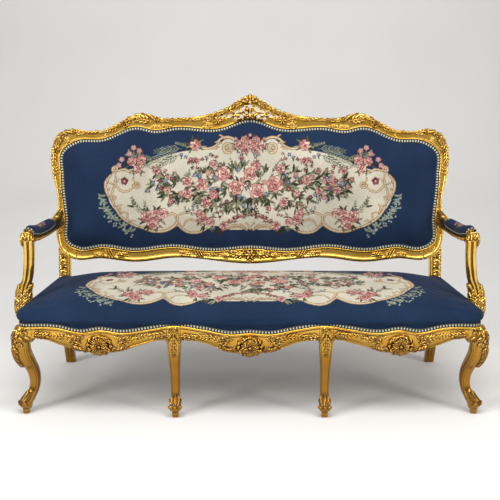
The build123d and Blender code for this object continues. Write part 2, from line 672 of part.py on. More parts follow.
def make_front_legs():
    diagonal = Vector(1, -1, 0).normalized()
    _, toe_swing, _ = CORNER_LEG_SHARES[-2]
    foot = (CORNER_LEG_X - LEG_SWING * toe_swing, CORNER_LEG_Y + LEG_SWING * toe_swing)
    leg = leg_loft(CORNER_LEG_SHARES, CORNER_LEG_X, CORNER_LEG_Y, -LEG_SWING, LEG_SWING, KNEE_WIDTH)
    leg += leg_foot(*foot)
    leg += toe_scroll(
        foot[0] + diagonal.X * TOE_SCROLL_REACH, foot[1] + diagonal.Y * TOE_SCROLL_REACH, (1, 1, 0)
    )
    low = LEG_TOP - KNEE_WIDTH / 2
    corner = box_between(
        (CORNER_HEAD_INNER, -2 * SEAT_FRONT, low), (2 * SEAT_HALF_WIDTH, CORNER_HEAD_BACK, RAIL_TOP)
    )
    show = front_cut(between(level_line(low), apron_line(SHOW_TOP_SHARES)), -SEAT_FRONT - CUT - REBATE, 0)
    leg += prism(SEAT_PLAN.face(), low, RAIL_TOP) & corner
    leg += prism(SEAT_PLAN.grown(REBATE).face(), low, RAIL_TOP) & corner & show
    leg -= rail_tenon(CORNER_HEAD_INNER, front_joint_y(CORNER_HEAD_INNER), 0, FIT)
    leg -= rail_tenon(*SIDE_JOINT_FRONT, 1, FIT)
    save_pair("front_leg", leg)

    _, toe_swing, _ = MIDDLE_LEG_SHARES[-2]
    foot = (MIDDLE_LEG_X, MIDDLE_LEG_Y + MIDDLE_LEG_SWING * toe_swing)
    leg = leg_loft(MIDDLE_LEG_SHARES, MIDDLE_LEG_X, MIDDLE_LEG_Y, 0, MIDDLE_LEG_SWING, MIDDLE_KNEE_WIDTH)
    leg += leg_foot(*foot)
    leg += toe_scroll(foot[0], foot[1] - TOE_SCROLL_REACH, (1, 0, 0))
    head = box_between(
        (MIDDLE_HEAD_INNER, -2 * SEAT_FRONT, low), (MIDDLE_HEAD_OUTER, CROSS_JOINT_FRONT[1], RAIL_TOP)
    )
    leg += prism(SEAT_PLAN.face(), low, RAIL_TOP) & head
    leg += prism(SEAT_PLAN.grown(REBATE).face(), low, RAIL_TOP) & head & show
    for x in FRONT_JOINTS[1:]:
        leg -= rail_tenon(x, front_joint_y(x), 0, FIT)
    leg -= cross_tenon(CROSS_JOINT_FRONT, FIT)
    save_pair("front_leg_middle", leg)


def make_side_and_rear_rails():
    inner = SEAT_PLAN.grown(-RAIL_THICKNESS)
    show_top = SIDE_RAIL_BOTTOM + SIDE_SHOW_DEPTH
    run = prism(ring(SEAT_PLAN.grown(REBATE), inner), SIDE_RAIL_BOTTOM, show_top)
    run += prism(ring(SEAT_PLAN, inner), show_top, RAIL_TOP)
    side = run & box_between((0, CORNER_HEAD_BACK, 0), (2 * SEAT_HALF_WIDTH, STILE_FRONT_Y, RAIL_TOP + CUT))
    side -= PARTS["rear_stile_right"]
    for joint in (SIDE_JOINT_FRONT, SIDE_JOINT_BACK):
        side += rail_tenon(*joint, 1)
    side = without(side, post_screws(FIT) + block_screws(FIT))
    save_pair("side_rail", side)
    run = prism(ring(SEAT_PLAN, inner), SIDE_RAIL_BOTTOM, RAIL_TOP)
    rear = run & box_between((-STILE_INNER_X, 0, 0), (STILE_INNER_X, SEAT_BACK + CUT, RAIL_TOP + CUT))
    screws = block_screws(FIT)
    rear = without(rear, [PARTS["rear_stile_right"], PARTS["rear_stile_left"]])
    rear = without(rear, screws + [other_side(item) for item in screws])
    for x in (REAR_JOINT[0], -REAR_JOINT[0]):
        rear += rail_tenon(x, REAR_JOINT[1], 0)
    for x in (CROSS_JOINT_BACK[0], -CROSS_JOINT_BACK[0]):
        rear -= cross_tenon((x, CROSS_JOINT_BACK[1]), FIT)
    save("rear_seat_rail", rear)
    top = RAIL_TOP - CROSS_RAIL_DROP
    cross = box_between(
        (MIDDLE_LEG_X - CROSS_RAIL_WIDTH / 2, CROSS_JOINT_FRONT[1], top - CROSS_RAIL_DEPTH),
        (MIDDLE_LEG_X + CROSS_RAIL_WIDTH / 2, CROSS_JOINT_BACK[1], top),
    )
    for joint in (CROSS_JOINT_FRONT, CROSS_JOINT_BACK):
        cross += cross_tenon(joint)
    save_pair("seat_cross_rail", cross)


# The back frame, in its own plane
OUTER = mirrored_outline(OUTER_EDGE_SHARES, BACK_HALF_WIDTH, BACK_RISE)
SIGHT = mirrored_outline(SIGHT_EDGE_SHARES, BACK_HALF_WIDTH, BACK_RISE)
SIGHT_CHORDS = SIGHT.chords(SAG)
FACE_TOP = COVE_FLOOR + OUTER_BEAD_HEIGHT
CREST_JOINT = CREST_JOINT_SHARE * BACK_HALF_WIDTH
SHOULDER_JOINT = SHOULDER_JOINT_SHARE * BACK_RISE
BOTTOM_JOINT = BOTTOM_JOINT_SHARE * BACK_HALF_WIDTH


def sight_wire(distance=0.0):
    """The sight edge in chords, moved outwards by a distance."""
    return Wire.make_polygon(SIGHT.grown(distance).points(SIGHT_CHORDS))


def back_ring():
    """The whole back frame in one: body, two beads, and the ledge behind the sight edge."""
    bead_top = COVE_FLOOR + OUTER_BEAD_HEIGHT
    hollow = Wire.make_polygon(OUTER.grown(-OUTER_BEAD_WIDTH).points(OUTER.chords(SAG)))
    sight = sight_wire()
    frame = prism(Face(OUTER.wire(), [sight]), -FRAME_BACK, COVE_FLOOR)
    frame += prism(Face(OUTER.wire(), [hollow]), COVE_FLOOR, bead_top)
    frame += prism(Face(sight_wire(SIGHT_BEAD_WIDTH), [sight]), COVE_FLOOR, COVE_FLOOR + SIGHT_BEAD_HEIGHT)
    return frame + prism(Face(sight, [sight_wire(-LEDGE_WIDTH)]), -LEDGE_BACK, 0)


def tongue(x, height, upright, room=0.0):
    """A loose tongue across a joint of the back frame."""
    size = [TONGUE_WIDTH, TONGUE_LENGTH] if upright else [TONGUE_LENGTH, TONGUE_WIDTH]
    low = [x - size[0] / 2, height - size[1] / 2, -(LEDGE_BACK + TONGUE_THICKNESS) / 2]
    high = [x + size[0] / 2, height + size[1] / 2, -(LEDGE_BACK - TONGUE_THICKNESS) / 2]
    return grown_box(low, high, room)


def tongues(room=0.0):
    """The right-hand tongues: crest to shoulder, shoulder to stile, and bottom rail to stile."""
    stile_middle = (STILE_OUTER_X + SIGHT_EDGE_SHARES[9][0] * BACK_HALF_WIDTH - LEDGE_WIDTH) / 2
    crest_middle = (OUTER_EDGE_SHARES[6][1] + SIGHT_EDGE_SHARES[5][1]) / 2 * BACK_RISE - LEDGE_WIDTH / 2
    bottom_middle = (OUTER_EDGE_SHARES[12][1] + SIGHT_EDGE_SHARES[11][1]) / 2 * BACK_RISE + LEDGE_WIDTH / 2
    return [
        tongue(CREST_JOINT, crest_middle, False, room),
        tongue(stile_middle, SHOULDER_JOINT, True, room),
        tongue(BOTTOM_JOINT, bottom_middle, False, room),
    ]


def local_box(x_low, x_high, low, high):
    reach = FRAME_BACK + FACE_TOP
    return box_between((x_low, low, -reach), (x_high, high, reach))


def arm_tenon(room=0.0):
    """The tenon of the arm, in the back's plane."""
    height = (ARM_SEAT_Z - BACK_PLANE_Z) / cos(RAKE)
    side, end = TENON_THICKNESS / 2, ARM_SEAT_HEIGHT / 2 - TENON_SHOULDER
    low = (ARM_SEAT_X - side, height - end, FACE_TOP - TENON_LENGTH)
    high = (ARM_SEAT_X + side, height + end, FACE_TOP + TENON_LENGTH)
    return grown_box(low, high, room)


def stile_leg():
    """The stile below the back frame, sawn from the front and from the side."""
    lean = tan(RAKE)
    top = BACK_PLANE_Z + SHOULDER_JOINT / 2
    front, back = [], []
    for down, kick in STILE_BACK_SHARES:
        z = RAIL_TOP * (1 - down)
        depth = STILE_DEPTH + (STILE_FOOT_DEPTH - STILE_DEPTH) * down
        y = STILE_FRONT_Y + STILE_KICK * kick
        front.append((y, z))
        back.append((y + depth, z))
    rise = top - RAIL_TOP
    front = [(front[0][0] + rise * lean, top)] + front
    back = [(front[0][0] + FRAME_BACK / cos(RAKE), top)] + back
    side_face = between(front, back)
    front_face = polygon([
        Vector(STILE_OUTER_X, top), Vector(STILE_OUTER_X, 0), Vector(STILE_OUTER_X - STILE_FOOT_WIDTH, 0),
        Vector(STILE_INNER_X, SIDE_RAIL_BOTTOM), Vector(STILE_INNER_X, top),
    ])
    return side_cut(side_face, 0, 2 * STILE_OUTER_X) & front_cut(front_face, 0, SEAT_BACK + 2 * STILE_KICK)


def leaf_face(half_length, half_width):
    """A leaf between two arcs that meet in points."""
    tips = (-half_length, 0), (half_length, 0)
    edges = [Edge.make_three_point_arc(tips[0], (0, side * half_width), tips[1]) for side in (1, -1)]
    return Face(Wire(edges))


def make_back_frame():
    frame = back_ring()
    reach = 2 * BACK_HALF_WIDTH
    crest = frame & local_box(-CREST_JOINT, CREST_JOINT, SHOULDER_JOINT, 2 * BACK_RISE)
    shoulder = frame & local_box(CREST_JOINT, reach, SHOULDER_JOINT, 2 * BACK_RISE)
    stile = frame & local_box(BOTTOM_JOINT, reach, -BACK_RISE, SHOULDER_JOINT)
    bottom = frame & local_box(-BOTTOM_JOINT, BOTTOM_JOINT, -BACK_RISE, SHOULDER_JOINT)
    joints = tongues(FIT)
    for cut in (joints[0], other_side(joints[0])):
        crest -= cut
    shoulder -= joints[0]
    shoulder -= joints[1]
    stile -= joints[1]
    stile -= joints[2]
    for cut in (joints[2], other_side(joints[2])):
        bottom -= cut
    for x, y, half_length, half_width, turn in PIERCING_SHARES:
        place = Location((x * BACK_HALF_WIDTH, y * BACK_RISE, 0), (0, 0, turn))
        leaf = place * leaf_face(half_length * PIERCING_UNIT, half_width * PIERCING_UNIT)
        crest -= prism(leaf, -FRAME_BACK - CUT, FACE_TOP + CUT)
    save("crest_rail", raked(crest))
    save_pair("back_shoulder", raked(shoulder))
    save("back_bottom_rail", raked(bottom))
    seat_height = ARM_SEAT_HEIGHT / 2 + COVE_FLOOR
    middle = (ARM_SEAT_Z - BACK_PLANE_Z) / cos(RAKE)
    stile += box_between(
        (ARM_SEAT_X - ARM_SEAT_WIDTH / 2, middle - seat_height, 0),
        (STILE_OUTER_X - REBATE / 2, middle + seat_height, FACE_TOP),
    )
    lower = stile_leg() - raked(box_between((0, BOTTOM_TOP, -reach), (reach, reach, reach)))
    stile = raked(stile - arm_tenon(FIT)) + lower
    knob = Pos(STILE_OUTER_X, STILE_FRONT_Y + STILE_KICK, STILE_KNOB_HEIGHT) * Rot(90, 0, 0)
    stile += knob * Cylinder(STILE_KNOB_RADIUS, STILE_FOOT_DEPTH)
    stile -= rail_tenon(*SIDE_JOINT_BACK, 1, FIT)
    stile -= rail_tenon(*REAR_JOINT, 0, FIT)
    save_pair("rear_stile", stile)
    loose = [raked(shape) for shape in tongues()]
    save("back_frame_tongues", Compound(loose + [other_side(shape) for shape in loose]))


# Where the stile's lower part ends, up the rake: inside the corner of the frame
BOTTOM_TOP = SIGHT_EDGE_SHARES[11][1] * BACK_RISE


def shell(scale=1.0):
    """A carved shell: ribs that fan up from a hinge at the origin and swell towards the front."""
    spread = radians(SHELL_SPREAD_DEGREES)

    def at(angle, reach):
        return Vector(SHELL_HALF_WIDTH * scale * reach * sin(angle), SHELL_LENGTH * scale * reach * cos(angle))

    rim = []
    for rib in range(SHELL_RIBS):
        valley = -spread + 2 * spread * rib / SHELL_RIBS
        rim += [at(valley, SHELL_VALLEY_SHARE), at(valley + spread / SHELL_RIBS, 1.0)]
    rim.append(at(spread, SHELL_VALLEY_SHARE))
    rim += [at(angle, SHELL_HINGE_SHARE) for angle in (spread, pi, -spread)]
    rim.reverse()
    sections = []
    for share, rise in SHELL_STEP_SHARES:
        sections.append([Vector(point.X * share, point.Y * share, rise * SHELL_HEIGHT * scale) for point in rim])
    return rim, faceted(sections)


def backed_shell(depth, scale=1.0):
    """A shell with a block behind it, to be cut to the face that it is carved on."""
    rim, fan = shell(scale)
    return fan + prism(polygon(rim), -depth, 0)


def petals(radius, height):
    """A ring of points round a flower of pointed petals."""
    turn = 2 * pi / ROSETTE_PETALS
    points = []
    for petal in range(ROSETTE_PETALS):
        for part, reach in PETAL_SHARES:
            angle = (petal + part) * turn
            points.append(Vector(radius * reach * cos(angle), radius * reach * sin(angle), height))
    return points


def rosette(radius, height):
    """A small flower with a raised middle."""
    steps = [(1.0, 0.0), (1.0, 0.5), (0.62, 1.0), (0.30, 1.05), (0.18, 1.5)]
    return faceted([petals(radius * reach, height * rise) for reach, rise in steps])


def make_carvings():
    for name, share in (("centre", 0.0), ("right", SIDE_SHELL_SHARE)):
        x = share * SEAT_HALF_WIDTH
        slope = asin(x / BOW_RADIUS)
        depth = REBATE + APRON_BEAD_HEIGHT + CUT
        face = BOW_MIDDLE_Y - (BOW_RADIUS + REBATE + APRON_BEAD_HEIGHT) * cos(slope)
        solid = backed_shell(depth)
        place = Location((x, face, APRON_SHELL_TOP), (90, 0, 0))
        solid = place * (Rot(0, 0, 180) * solid)
        core = prism(SEAT_PLAN.grown(REBATE).face(), 0, RAIL_TOP)
        save("apron_shell_" + name, solid - core - PARTS["front_rail_" + name])
    save("apron_shell_left", other_side(PARTS["apron_shell_right"]))
    crest = backed_shell(FACE_TOP - COVE_FLOOR, CREST_SHELL_SCALE_SHARE)
    crest = Pos(0, CREST_SHELL_SHARE * BACK_RISE, FACE_TOP) * crest
    save("crest_shell", raked(crest) - PARTS["crest_rail"])
    flowers = []
    for side in (1, -1):
        x, y = CREST_ROSETTE_SHARES
        flower = Pos(side * x * BACK_HALF_WIDTH, y * BACK_RISE, COVE_FLOOR) * rosette(ROSETTE_RADIUS, ROSETTE_HEIGHT)
        flowers.append(flower)
    save("crest_rosettes", Compound([raked(flower) for flower in flowers]))
    x, y = RAIL_ROSETTE_SHARES
    flower = Pos(x, y * BACK_RISE, COVE_FLOOR) * rosette(ROSETTE_RADIUS, ROSETTE_HEIGHT)
    save("bottom_rail_rosette", raked(flower))


def arm_section(along, out, dip, width, height):
    """One rounded section of the arm, square to its run."""
    y = arm_y(along)
    x, z = arm_middle(out, dip)
    section = rounded(ARM_WIDTH * width, ARM_HEIGHT * height, ARM_WIDTH * EDGE_ROUND_SHARE, x, z)
    return [Vector(point.X, y, point.Y) for point in section]


def arm_middle(out, dip):
    return ARM_SEAT_X + ARM_SPREAD * out, ARM_SEAT_Z - ARM_DIP * dip


def arm_y(along):
    start = BACK_PLANE_Y + (ARM_SEAT_Z - BACK_PLANE_Z) * tan(RAKE) - FACE_TOP
    return start - along * ARM_REACH


def arm_at(along):
    """The arm's middle and half height at a share of its reach."""
    for near, far in zip(ARM_SHARES, ARM_SHARES[1:]):
        if near[0] <= along <= far[0]:
            part = (along - near[0]) / (far[0] - near[0])
            out, dip, width, height = [n + (f - n) * part for n, f in zip(near[1:], far[1:])]
            x, z = arm_middle(out, dip)
            return x, z, ARM_WIDTH * width / 2, ARM_HEIGHT * height / 2
    raise ValueError("outside the arm")


HAND_X, HAND_Z, _, _ = arm_at(ARM_SHARES[-2][0])
HAND_Y = arm_y(1.0) + HAND_RADIUS


def make_arm():
    arm = faceted([arm_section(*row) for row in ARM_SHARES])
    arm += Pos(HAND_X, HAND_Y, HAND_Z - HAND_DROP) * Rot(0, 90, 0) * Cylinder(HAND_RADIUS, HAND_WIDTH)
    reach = 2 * BACK_RISE
    behind = raked(box_between((0, -reach, -reach), (reach, reach, FACE_TOP)))
    arm = arm - behind + raked(arm_tenon())
    arm -= post_tenon(FIT)
    save_pair("arm", arm)


def post_place(share):
    return RAIL_TOP + share * (POST_TOP_Z - RAIL_TOP)


def post_tenon(room=0.0):
    x = POST_OUTER_X - POST_WIDTH * (POST_OUTER_SHARES[-1][1] + POST_INNER_SHARES[-1][1]) / 2
    y = POST_Y - POST_LEAN
    side = TENON_THICKNESS / 2
    low = (x - side, y - side, POST_TOP_Z - ARM_HEIGHT)
    high = (x + side, y + side, POST_TOP_Z)
    return grown_box(low, high, room)


def make_post():
    outer = [(POST_OUTER_X - across * POST_WIDTH, post_place(share)) for share, across in POST_OUTER_SHARES]
    inner = [(POST_OUTER_X - across * POST_WIDTH, post_place(share)) for share, across in POST_INNER_SHARES]
    front, back = [], []
    for share, lean, depth in POST_SIDE_SHARES:
        middle = POST_Y - POST_LEAN * lean
        front.append((middle - POST_DEPTH * depth / 2, post_place(share)))
        back.append((middle + POST_DEPTH * depth / 2, post_place(share)))
    reach = 2 * SEAT_FRONT
    post = front_cut(between(outer, inner), -reach, reach) & side_cut(between(front, back), 0, 2 * POST_OUTER_X)
    post -= prism(SEAT_PLAN.grown(REBATE).face(), 0, RAIL_TOP - SIDE_RAIL_DEPTH + SIDE_SHOW_DEPTH)
    post -= prism(SEAT_PLAN.face(), 0, RAIL_TOP)
    arm = PARTS["arm_right"]
    post = (post - arm).solids().sort_by(Axis.Z)[0] + post_tenon()
    post = without(post, post_screws(FIT))
    save_pair("arm_post", post)


def screw(length, room=0.0):
    """A countersunk screw along +Z, with its head at the origin, drawn with few sides."""
    sections = []
    for radius, height in (
        (SCREW_HEAD_RADIUS, 0), (SCREW_RADIUS, SCREW_HEAD_HEIGHT), (SCREW_RADIUS, length - SCREW_RADIUS),
        (SCREW_RADIUS / 2, length),
    ):
        turns = [2 * pi * k / SCREW_SIDES for k in range(SCREW_SIDES)]
        sections.append([Vector((radius + room) * cos(turn), (radius + room) * sin(turn), height) for turn in turns])
    return faceted(sections)


def post_screws(room=0.0):
    """Two screws from inside the side rail into the post's lap."""
    solids = []
    for drop in POST_SCREW_SHARES:
        z = RAIL_TOP - SIDE_RAIL_DEPTH * drop
        x = side_x(POST_Y) - RAIL_THICKNESS / SIDE_NORMAL.X
        outward = (SIDE_NORMAL.X, SIDE_NORMAL.Y, 0)
        solids.append(Plane(origin=(x, POST_Y, z), z_dir=outward).location * screw(POST_SCREW_LENGTH, room))
    return solids


FRONT_INNER_Y = bow_y(CORNER_HEAD_INNER) + RAIL_THICKNESS
BLOCK_TOP = RAIL_TOP - BLOCK_DROP


def block_screws(room=0.0):
    """Each block has a screw into either rail, square to it, through the block's thinner part."""
    z = BLOCK_TOP - BLOCK_HEIGHT / 2
    near = BLOCK_LEG * BLOCK_SCREW_SHARE
    wall = BLOCK_LEG - near
    side = (SIDE_NORMAL.X, SIDE_NORMAL.Y, 0)
    inner = RAIL_THICKNESS / SIDE_NORMAL.X
    places = []
    for corner_y, back in ((CORNER_HEAD_BACK, 1), (REAR_RAIL_FRONT, -1)):
        y = corner_y + back * near
        places.append(((side_x(y) - inner - wall, y, z), side))
    x = CORNER_HEAD_INNER - near
    places.append(((x, bow_y(x) + RAIL_THICKNESS + wall, z), (0, -1, 0)))
    x = side_x(REAR_RAIL_FRONT) - inner - near
    places.append(((x, REAR_RAIL_FRONT - wall, z), (0, 1, 0)))
    return [Plane(origin=place, z_dir=way).location * screw(BLOCK_SCREW_LENGTH, room) for place, way in places]


def make_blocks():
    """Corner blocks inside the seat frame, with the screws that hold them and the posts."""
    space = prism(SEAT_PLAN.grown(-RAIL_THICKNESS).face(), BLOCK_TOP - BLOCK_HEIGHT, BLOCK_TOP)
    inner = RAIL_THICKNESS / SIDE_NORMAL.X
    front_x, rear_x = CORNER_HEAD_INNER, side_x(REAR_RAIL_FRONT) - inner
    blocks = []
    for x, y, back, taken in (
        (front_x, CORNER_HEAD_BACK, 1, "front_leg_right"), (rear_x, REAR_RAIL_FRONT, -1, "rear_stile_right")
    ):
        far_x = side_x(y) - inner
        corner = y if back < 0 else bow_y(x) + RAIL_THICKNESS
        outline = Polyline(
            (far_x + BLOCK_LEG, y - back * 2 * BLOCK_LEG),
            (far_x + BLOCK_LEG, y + back * BLOCK_LEG),
            (far_x, y + back * BLOCK_LEG),
            (x - BLOCK_LEG, corner),
            (x - BLOCK_LEG, y - back * 2 * BLOCK_LEG),
            close=True,
        )
        block = prism(make_face(outline).face(), BLOCK_TOP - BLOCK_HEIGHT, BLOCK_TOP) & space
        block -= PARTS[taken]
        for cut in block_screws(FIT):
            block -= cut
        blocks.append(block)
    blocks += [other_side(block) for block in blocks]
    save("corner_blocks", Compound(blocks))
    screws = block_screws()
    save("corner_block_screws", Compound(screws + [other_side(item) for item in screws]))
    screws = post_screws()
    save("arm_post_screws", Compound(screws + [other_side(item) for item in screws]))


def strip_sheet(plan, half_width, low, high, across, along, thickness, height):
    """Webbing as one holed sheet: strips across and along, kept inside a plan."""
    strips = []
    for i in range(along):
        x = -half_width + (2 * half_width) * (i + 0.5) / along
        strips.append(Pos(x, (low + high) / 2) * Rectangle(WEB_WIDTH, high - low))
    for i in range(across):
        y = low + (high - low) * (i + 0.5) / across
        strips.append(Pos(0, y) * Rectangle(2 * half_width, WEB_WIDTH))
    sheet = strips[0]
    for strip in strips[1:]:
        sheet += strip
    sheet = Sketch(children=[plan]) & sheet
    return Part() + [prism(face, height, height + thickness) for face in sheet.faces()]


WEB_TOP = RAIL_TOP + WEB_THICKNESS
HESSIAN_TOP = WEB_TOP + HESSIAN_THICKNESS


def standing_wood():
    """The space of the stiles and posts where they stand through the upholstery, with room round them."""
    low, high = SIDE_RAIL_BOTTOM, HESSIAN_TOP + 2 * SEAT_CROWN
    reach = 2 * SEAT_HALF_WIDTH
    stile = box_between((STILE_INNER_X - SOFT_FIT, STILE_FRONT_Y - SOFT_FIT, low), (reach, reach, high))
    half = POST_DEPTH * POST_NOTCH_SHARE
    inner = POST_OUTER_X - POST_WIDTH * POST_INNER_SHARES[1][1] - POST_WIDTH * POST_NOTCH_IN_SHARE
    post = box_between((inner, POST_Y - half, low), (reach, POST_Y + half, high))
    return [stile, post, other_side(stile), other_side(post)]


def seat_form(extra, start):
    """The crowned seat, grown by a thickness all over."""
    middle = (SEAT_BACK - SEAT_FRONT) / 2
    sections = [start] if start else []
    for rise, bulge, share_x, share_y in SEAT_FORM_SHARES:
        outline = SEAT_PLAN.grown(bulge * SEAT_BULGE + extra).scaled(share_x, share_y, middle)
        lift = extra if rise > SEAT_FORM_SHARES[3][0] else 0
        sections.append(at_height(outline.points(SEAT_CHORDS), HESSIAN_TOP + rise * SEAT_CROWN + lift))
    return faceted(sections)


def without(shape, cuts):
    for cut in cuts:
        shape -= cut
    return shape


def make_seat_upholstery():
    wood = standing_wood()
    inset = SEAT_PLAN.grown(-REBATE)
    webbing = strip_sheet(
        inset.face(), SEAT_HALF_WIDTH, -SEAT_FRONT, SEAT_BACK, SEAT_WEBS_ACROSS, SEAT_WEBS_ALONG, WEB_THICKNESS, RAIL_TOP
    )
    save("seat_webbing", without(webbing, wood))
    save("seat_hessian", without(prism(inset.face(), WEB_TOP, HESSIAN_TOP), wood))
    foam = seat_form(0.0, None)
    save("seat_foam", without(foam, wood))
    bottom = FRONT_SHOW_TOP - FRONT_APRON_DROP * COVER_DROP_SHARE
    cover = seat_form(COVER_THICKNESS, at_height(SEAT_PLAN.grown(COVER_THICKNESS).points(SEAT_CHORDS), bottom))
    cover -= foam
    cover -= prism(SEAT_PLAN.face(), bottom - CUT, HESSIAN_TOP)
    below = below_braid()
    save("seat_cover", without(cover, wood + below))
    edges = []
    for distance in (COVER_THICKNESS + GIMP_THICKNESS, COVER_THICKNESS):
        edges.append(Wire.make_polygon(SEAT_PLAN.grown(distance).points(SEAT_CHORDS)))
    gimp = prism(Face(edges[0], [edges[1]]), bottom - CUT, RAIL_TOP + CUT + GIMP_WIDTH)
    reach = 2 * SEAT_FRONT
    line = apron_line(SHOW_TOP_SHARES)
    top = [(x, z + GIMP_WIDTH) for x, z in line]
    level = line[-1][1]
    band = front_cut(between(line, top), -reach, 0)
    band += box_between((-reach * 2, 0, level), (reach * 2, reach, level + GIMP_WIDTH))
    save("seat_gimp", without(gimp & band, wood))


def below_braid():
    """The space under the braid's line: wavy along the front and level round the sides and back."""
    line = apron_line(SHOW_TOP_SHARES)
    reach = 2 * SEAT_FRONT
    level = line[-1][1]
    floor = level_line(RAIL_TOP - FRONT_APRON_DROP)
    return [
        front_cut(between(floor, line), -reach, 0),
        box_between((-2 * reach, -CUT, 0), (2 * reach, reach, level)),
    ]


def make_dust_cover():
    top = SIDE_RAIL_BOTTOM
    reach = 2 * SEAT_HALF_WIDTH
    low = top - DUST_COVER_THICKNESS
    rear = prism(SEAT_PLAN.grown(-DUST_COVER_INSET).face(), low, top)
    rear &= box_between((-reach, CORNER_HEAD_BACK, 0), (reach, reach, RAIL_TOP))
    front = prism(SEAT_PLAN.grown(-RAIL_THICKNESS - FIT).face(), low, top)
    front &= box_between((-reach, -reach, 0), (reach, CORNER_HEAD_BACK, RAIL_TOP))
    cuts = [PARTS[name] for name in ("front_leg_middle_left", "front_leg_middle_right")]
    cuts += [PARTS[name] for name in ("rear_stile_left", "rear_stile_right", "front_leg_left", "front_leg_right")]
    save("dust_cover", without(rear + front, cuts))


PAD_EDGE = SIGHT.grown(-EDGE_ROOM - GIMP_WIDTH - COVER_THICKNESS - PAD_ROOM)


def back_form(base, extra):
    """The crowned back, grown by a thickness all over, on a base height."""
    sections = []
    for rise, share_x, share_y in BACK_FORM_SHARES:
        outline = PAD_EDGE.grown(extra).scaled(share_x, share_y, BACK_RISE / 2)
        height = base + rise * BACK_CROWN + (extra if rise else 0)
        sections.append(at_height(outline.corners(), height))
    return faceted(sections)


def make_back_upholstery():
    edge = Face(sight_wire(-EDGE_ROOM))
    sheet = polygon(PAD_EDGE.grown(COVER_THICKNESS).corners())
    pad_face = polygon(PAD_EDGE.corners())
    base = WEB_THICKNESS + HESSIAN_THICKNESS
    reach = SIGHT_EDGE_SHARES[8][0] * BACK_HALF_WIDTH
    webbing = strip_sheet(
        sheet, reach, 0, SIGHT_EDGE_SHARES[0][1] * BACK_RISE, BACK_WEBS_ACROSS, BACK_WEBS_UP, WEB_THICKNESS, 0
    )
    save("back_webbing", raked(webbing))
    save("back_hessian", raked(prism(sheet, WEB_THICKNESS, base)))
    pad = back_form(base, 0.0)
    save("back_pad", raked(pad))
    top = base + COVER_THICKNESS
    cover = back_form(base, COVER_THICKNESS) - pad
    cover += prism(edge, base, top) - prism(pad_face, base - CUT, top + CUT)
    cover += prism(edge, 0, base) - prism(sheet, -CUT, base + CUT)
    save("back_cover", raked(cover))
    braid = Face(sight_wire(-EDGE_ROOM - GIMP_WIDTH))
    strip = prism(edge, top, top + GIMP_THICKNESS) - prism(braid, 0, top + FRAME_BACK)
    save("back_gimp", raked(strip))
    rear = -LEDGE_BACK - COVER_THICKNESS
    save("outside_back", raked(prism(edge, rear, -LEDGE_BACK)))
    strip = prism(edge, rear - GIMP_THICKNESS, rear) - prism(braid, -FRAME_BACK - CUT, 0)
    save("outside_back_gimp", raked(strip))


def make_arm_pad():
    sections = []
    for along, size in PAD_SIZE_SHARES:
        x, z, _, half = arm_at(along)
        side = PAD_WIDTH / 2 * size
        low = z + half - PAD_SIDE
        top = z + half + PAD_RISE * size
        y = arm_y(along)
        sections.append([Vector(x + side * out, y, low + (top - low) * up) for out, up in PAD_ROUND_SHARES])
    pad = faceted(sections)
    save_pair("arm_pad", pad - PARTS["arm_right"])


def main():
    make_front_rails()
    make_front_legs()
    make_back_frame()
    make_side_and_rear_rails()
    make_carvings()
    make_arm()
    make_post()
    make_arm_pad()
    make_blocks()
    make_seat_upholstery()
    make_dust_cover()
    make_back_upholstery()
    os.makedirs("parts", exist_ok=True)
    boxes = [shape.bounding_box() for shape in PARTS.values()]
    middle = (min(box.min.Y for box in boxes) + max(box.max.Y for box in boxes)) / 2
    for name, shape in PARTS.items():
        export_step(shape.moved(Location((0, -middle, 0))), f"parts/{name}.step")


main()
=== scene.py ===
# %% [markdown]
# # A carved and gilded settee
#
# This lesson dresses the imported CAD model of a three-seat settee. The CAD gives every piece its place
# and its main form. Here the carved show-wood gets its mouldings, shells and leaves, the upholstery
# gets its woven flowers and braid, and each surface gets a finish made from nodes.
#
# Lengths in the tables are millimetres, as a workshop drawing has them, and turn into metres where a
# mesh is made.

import json
import math

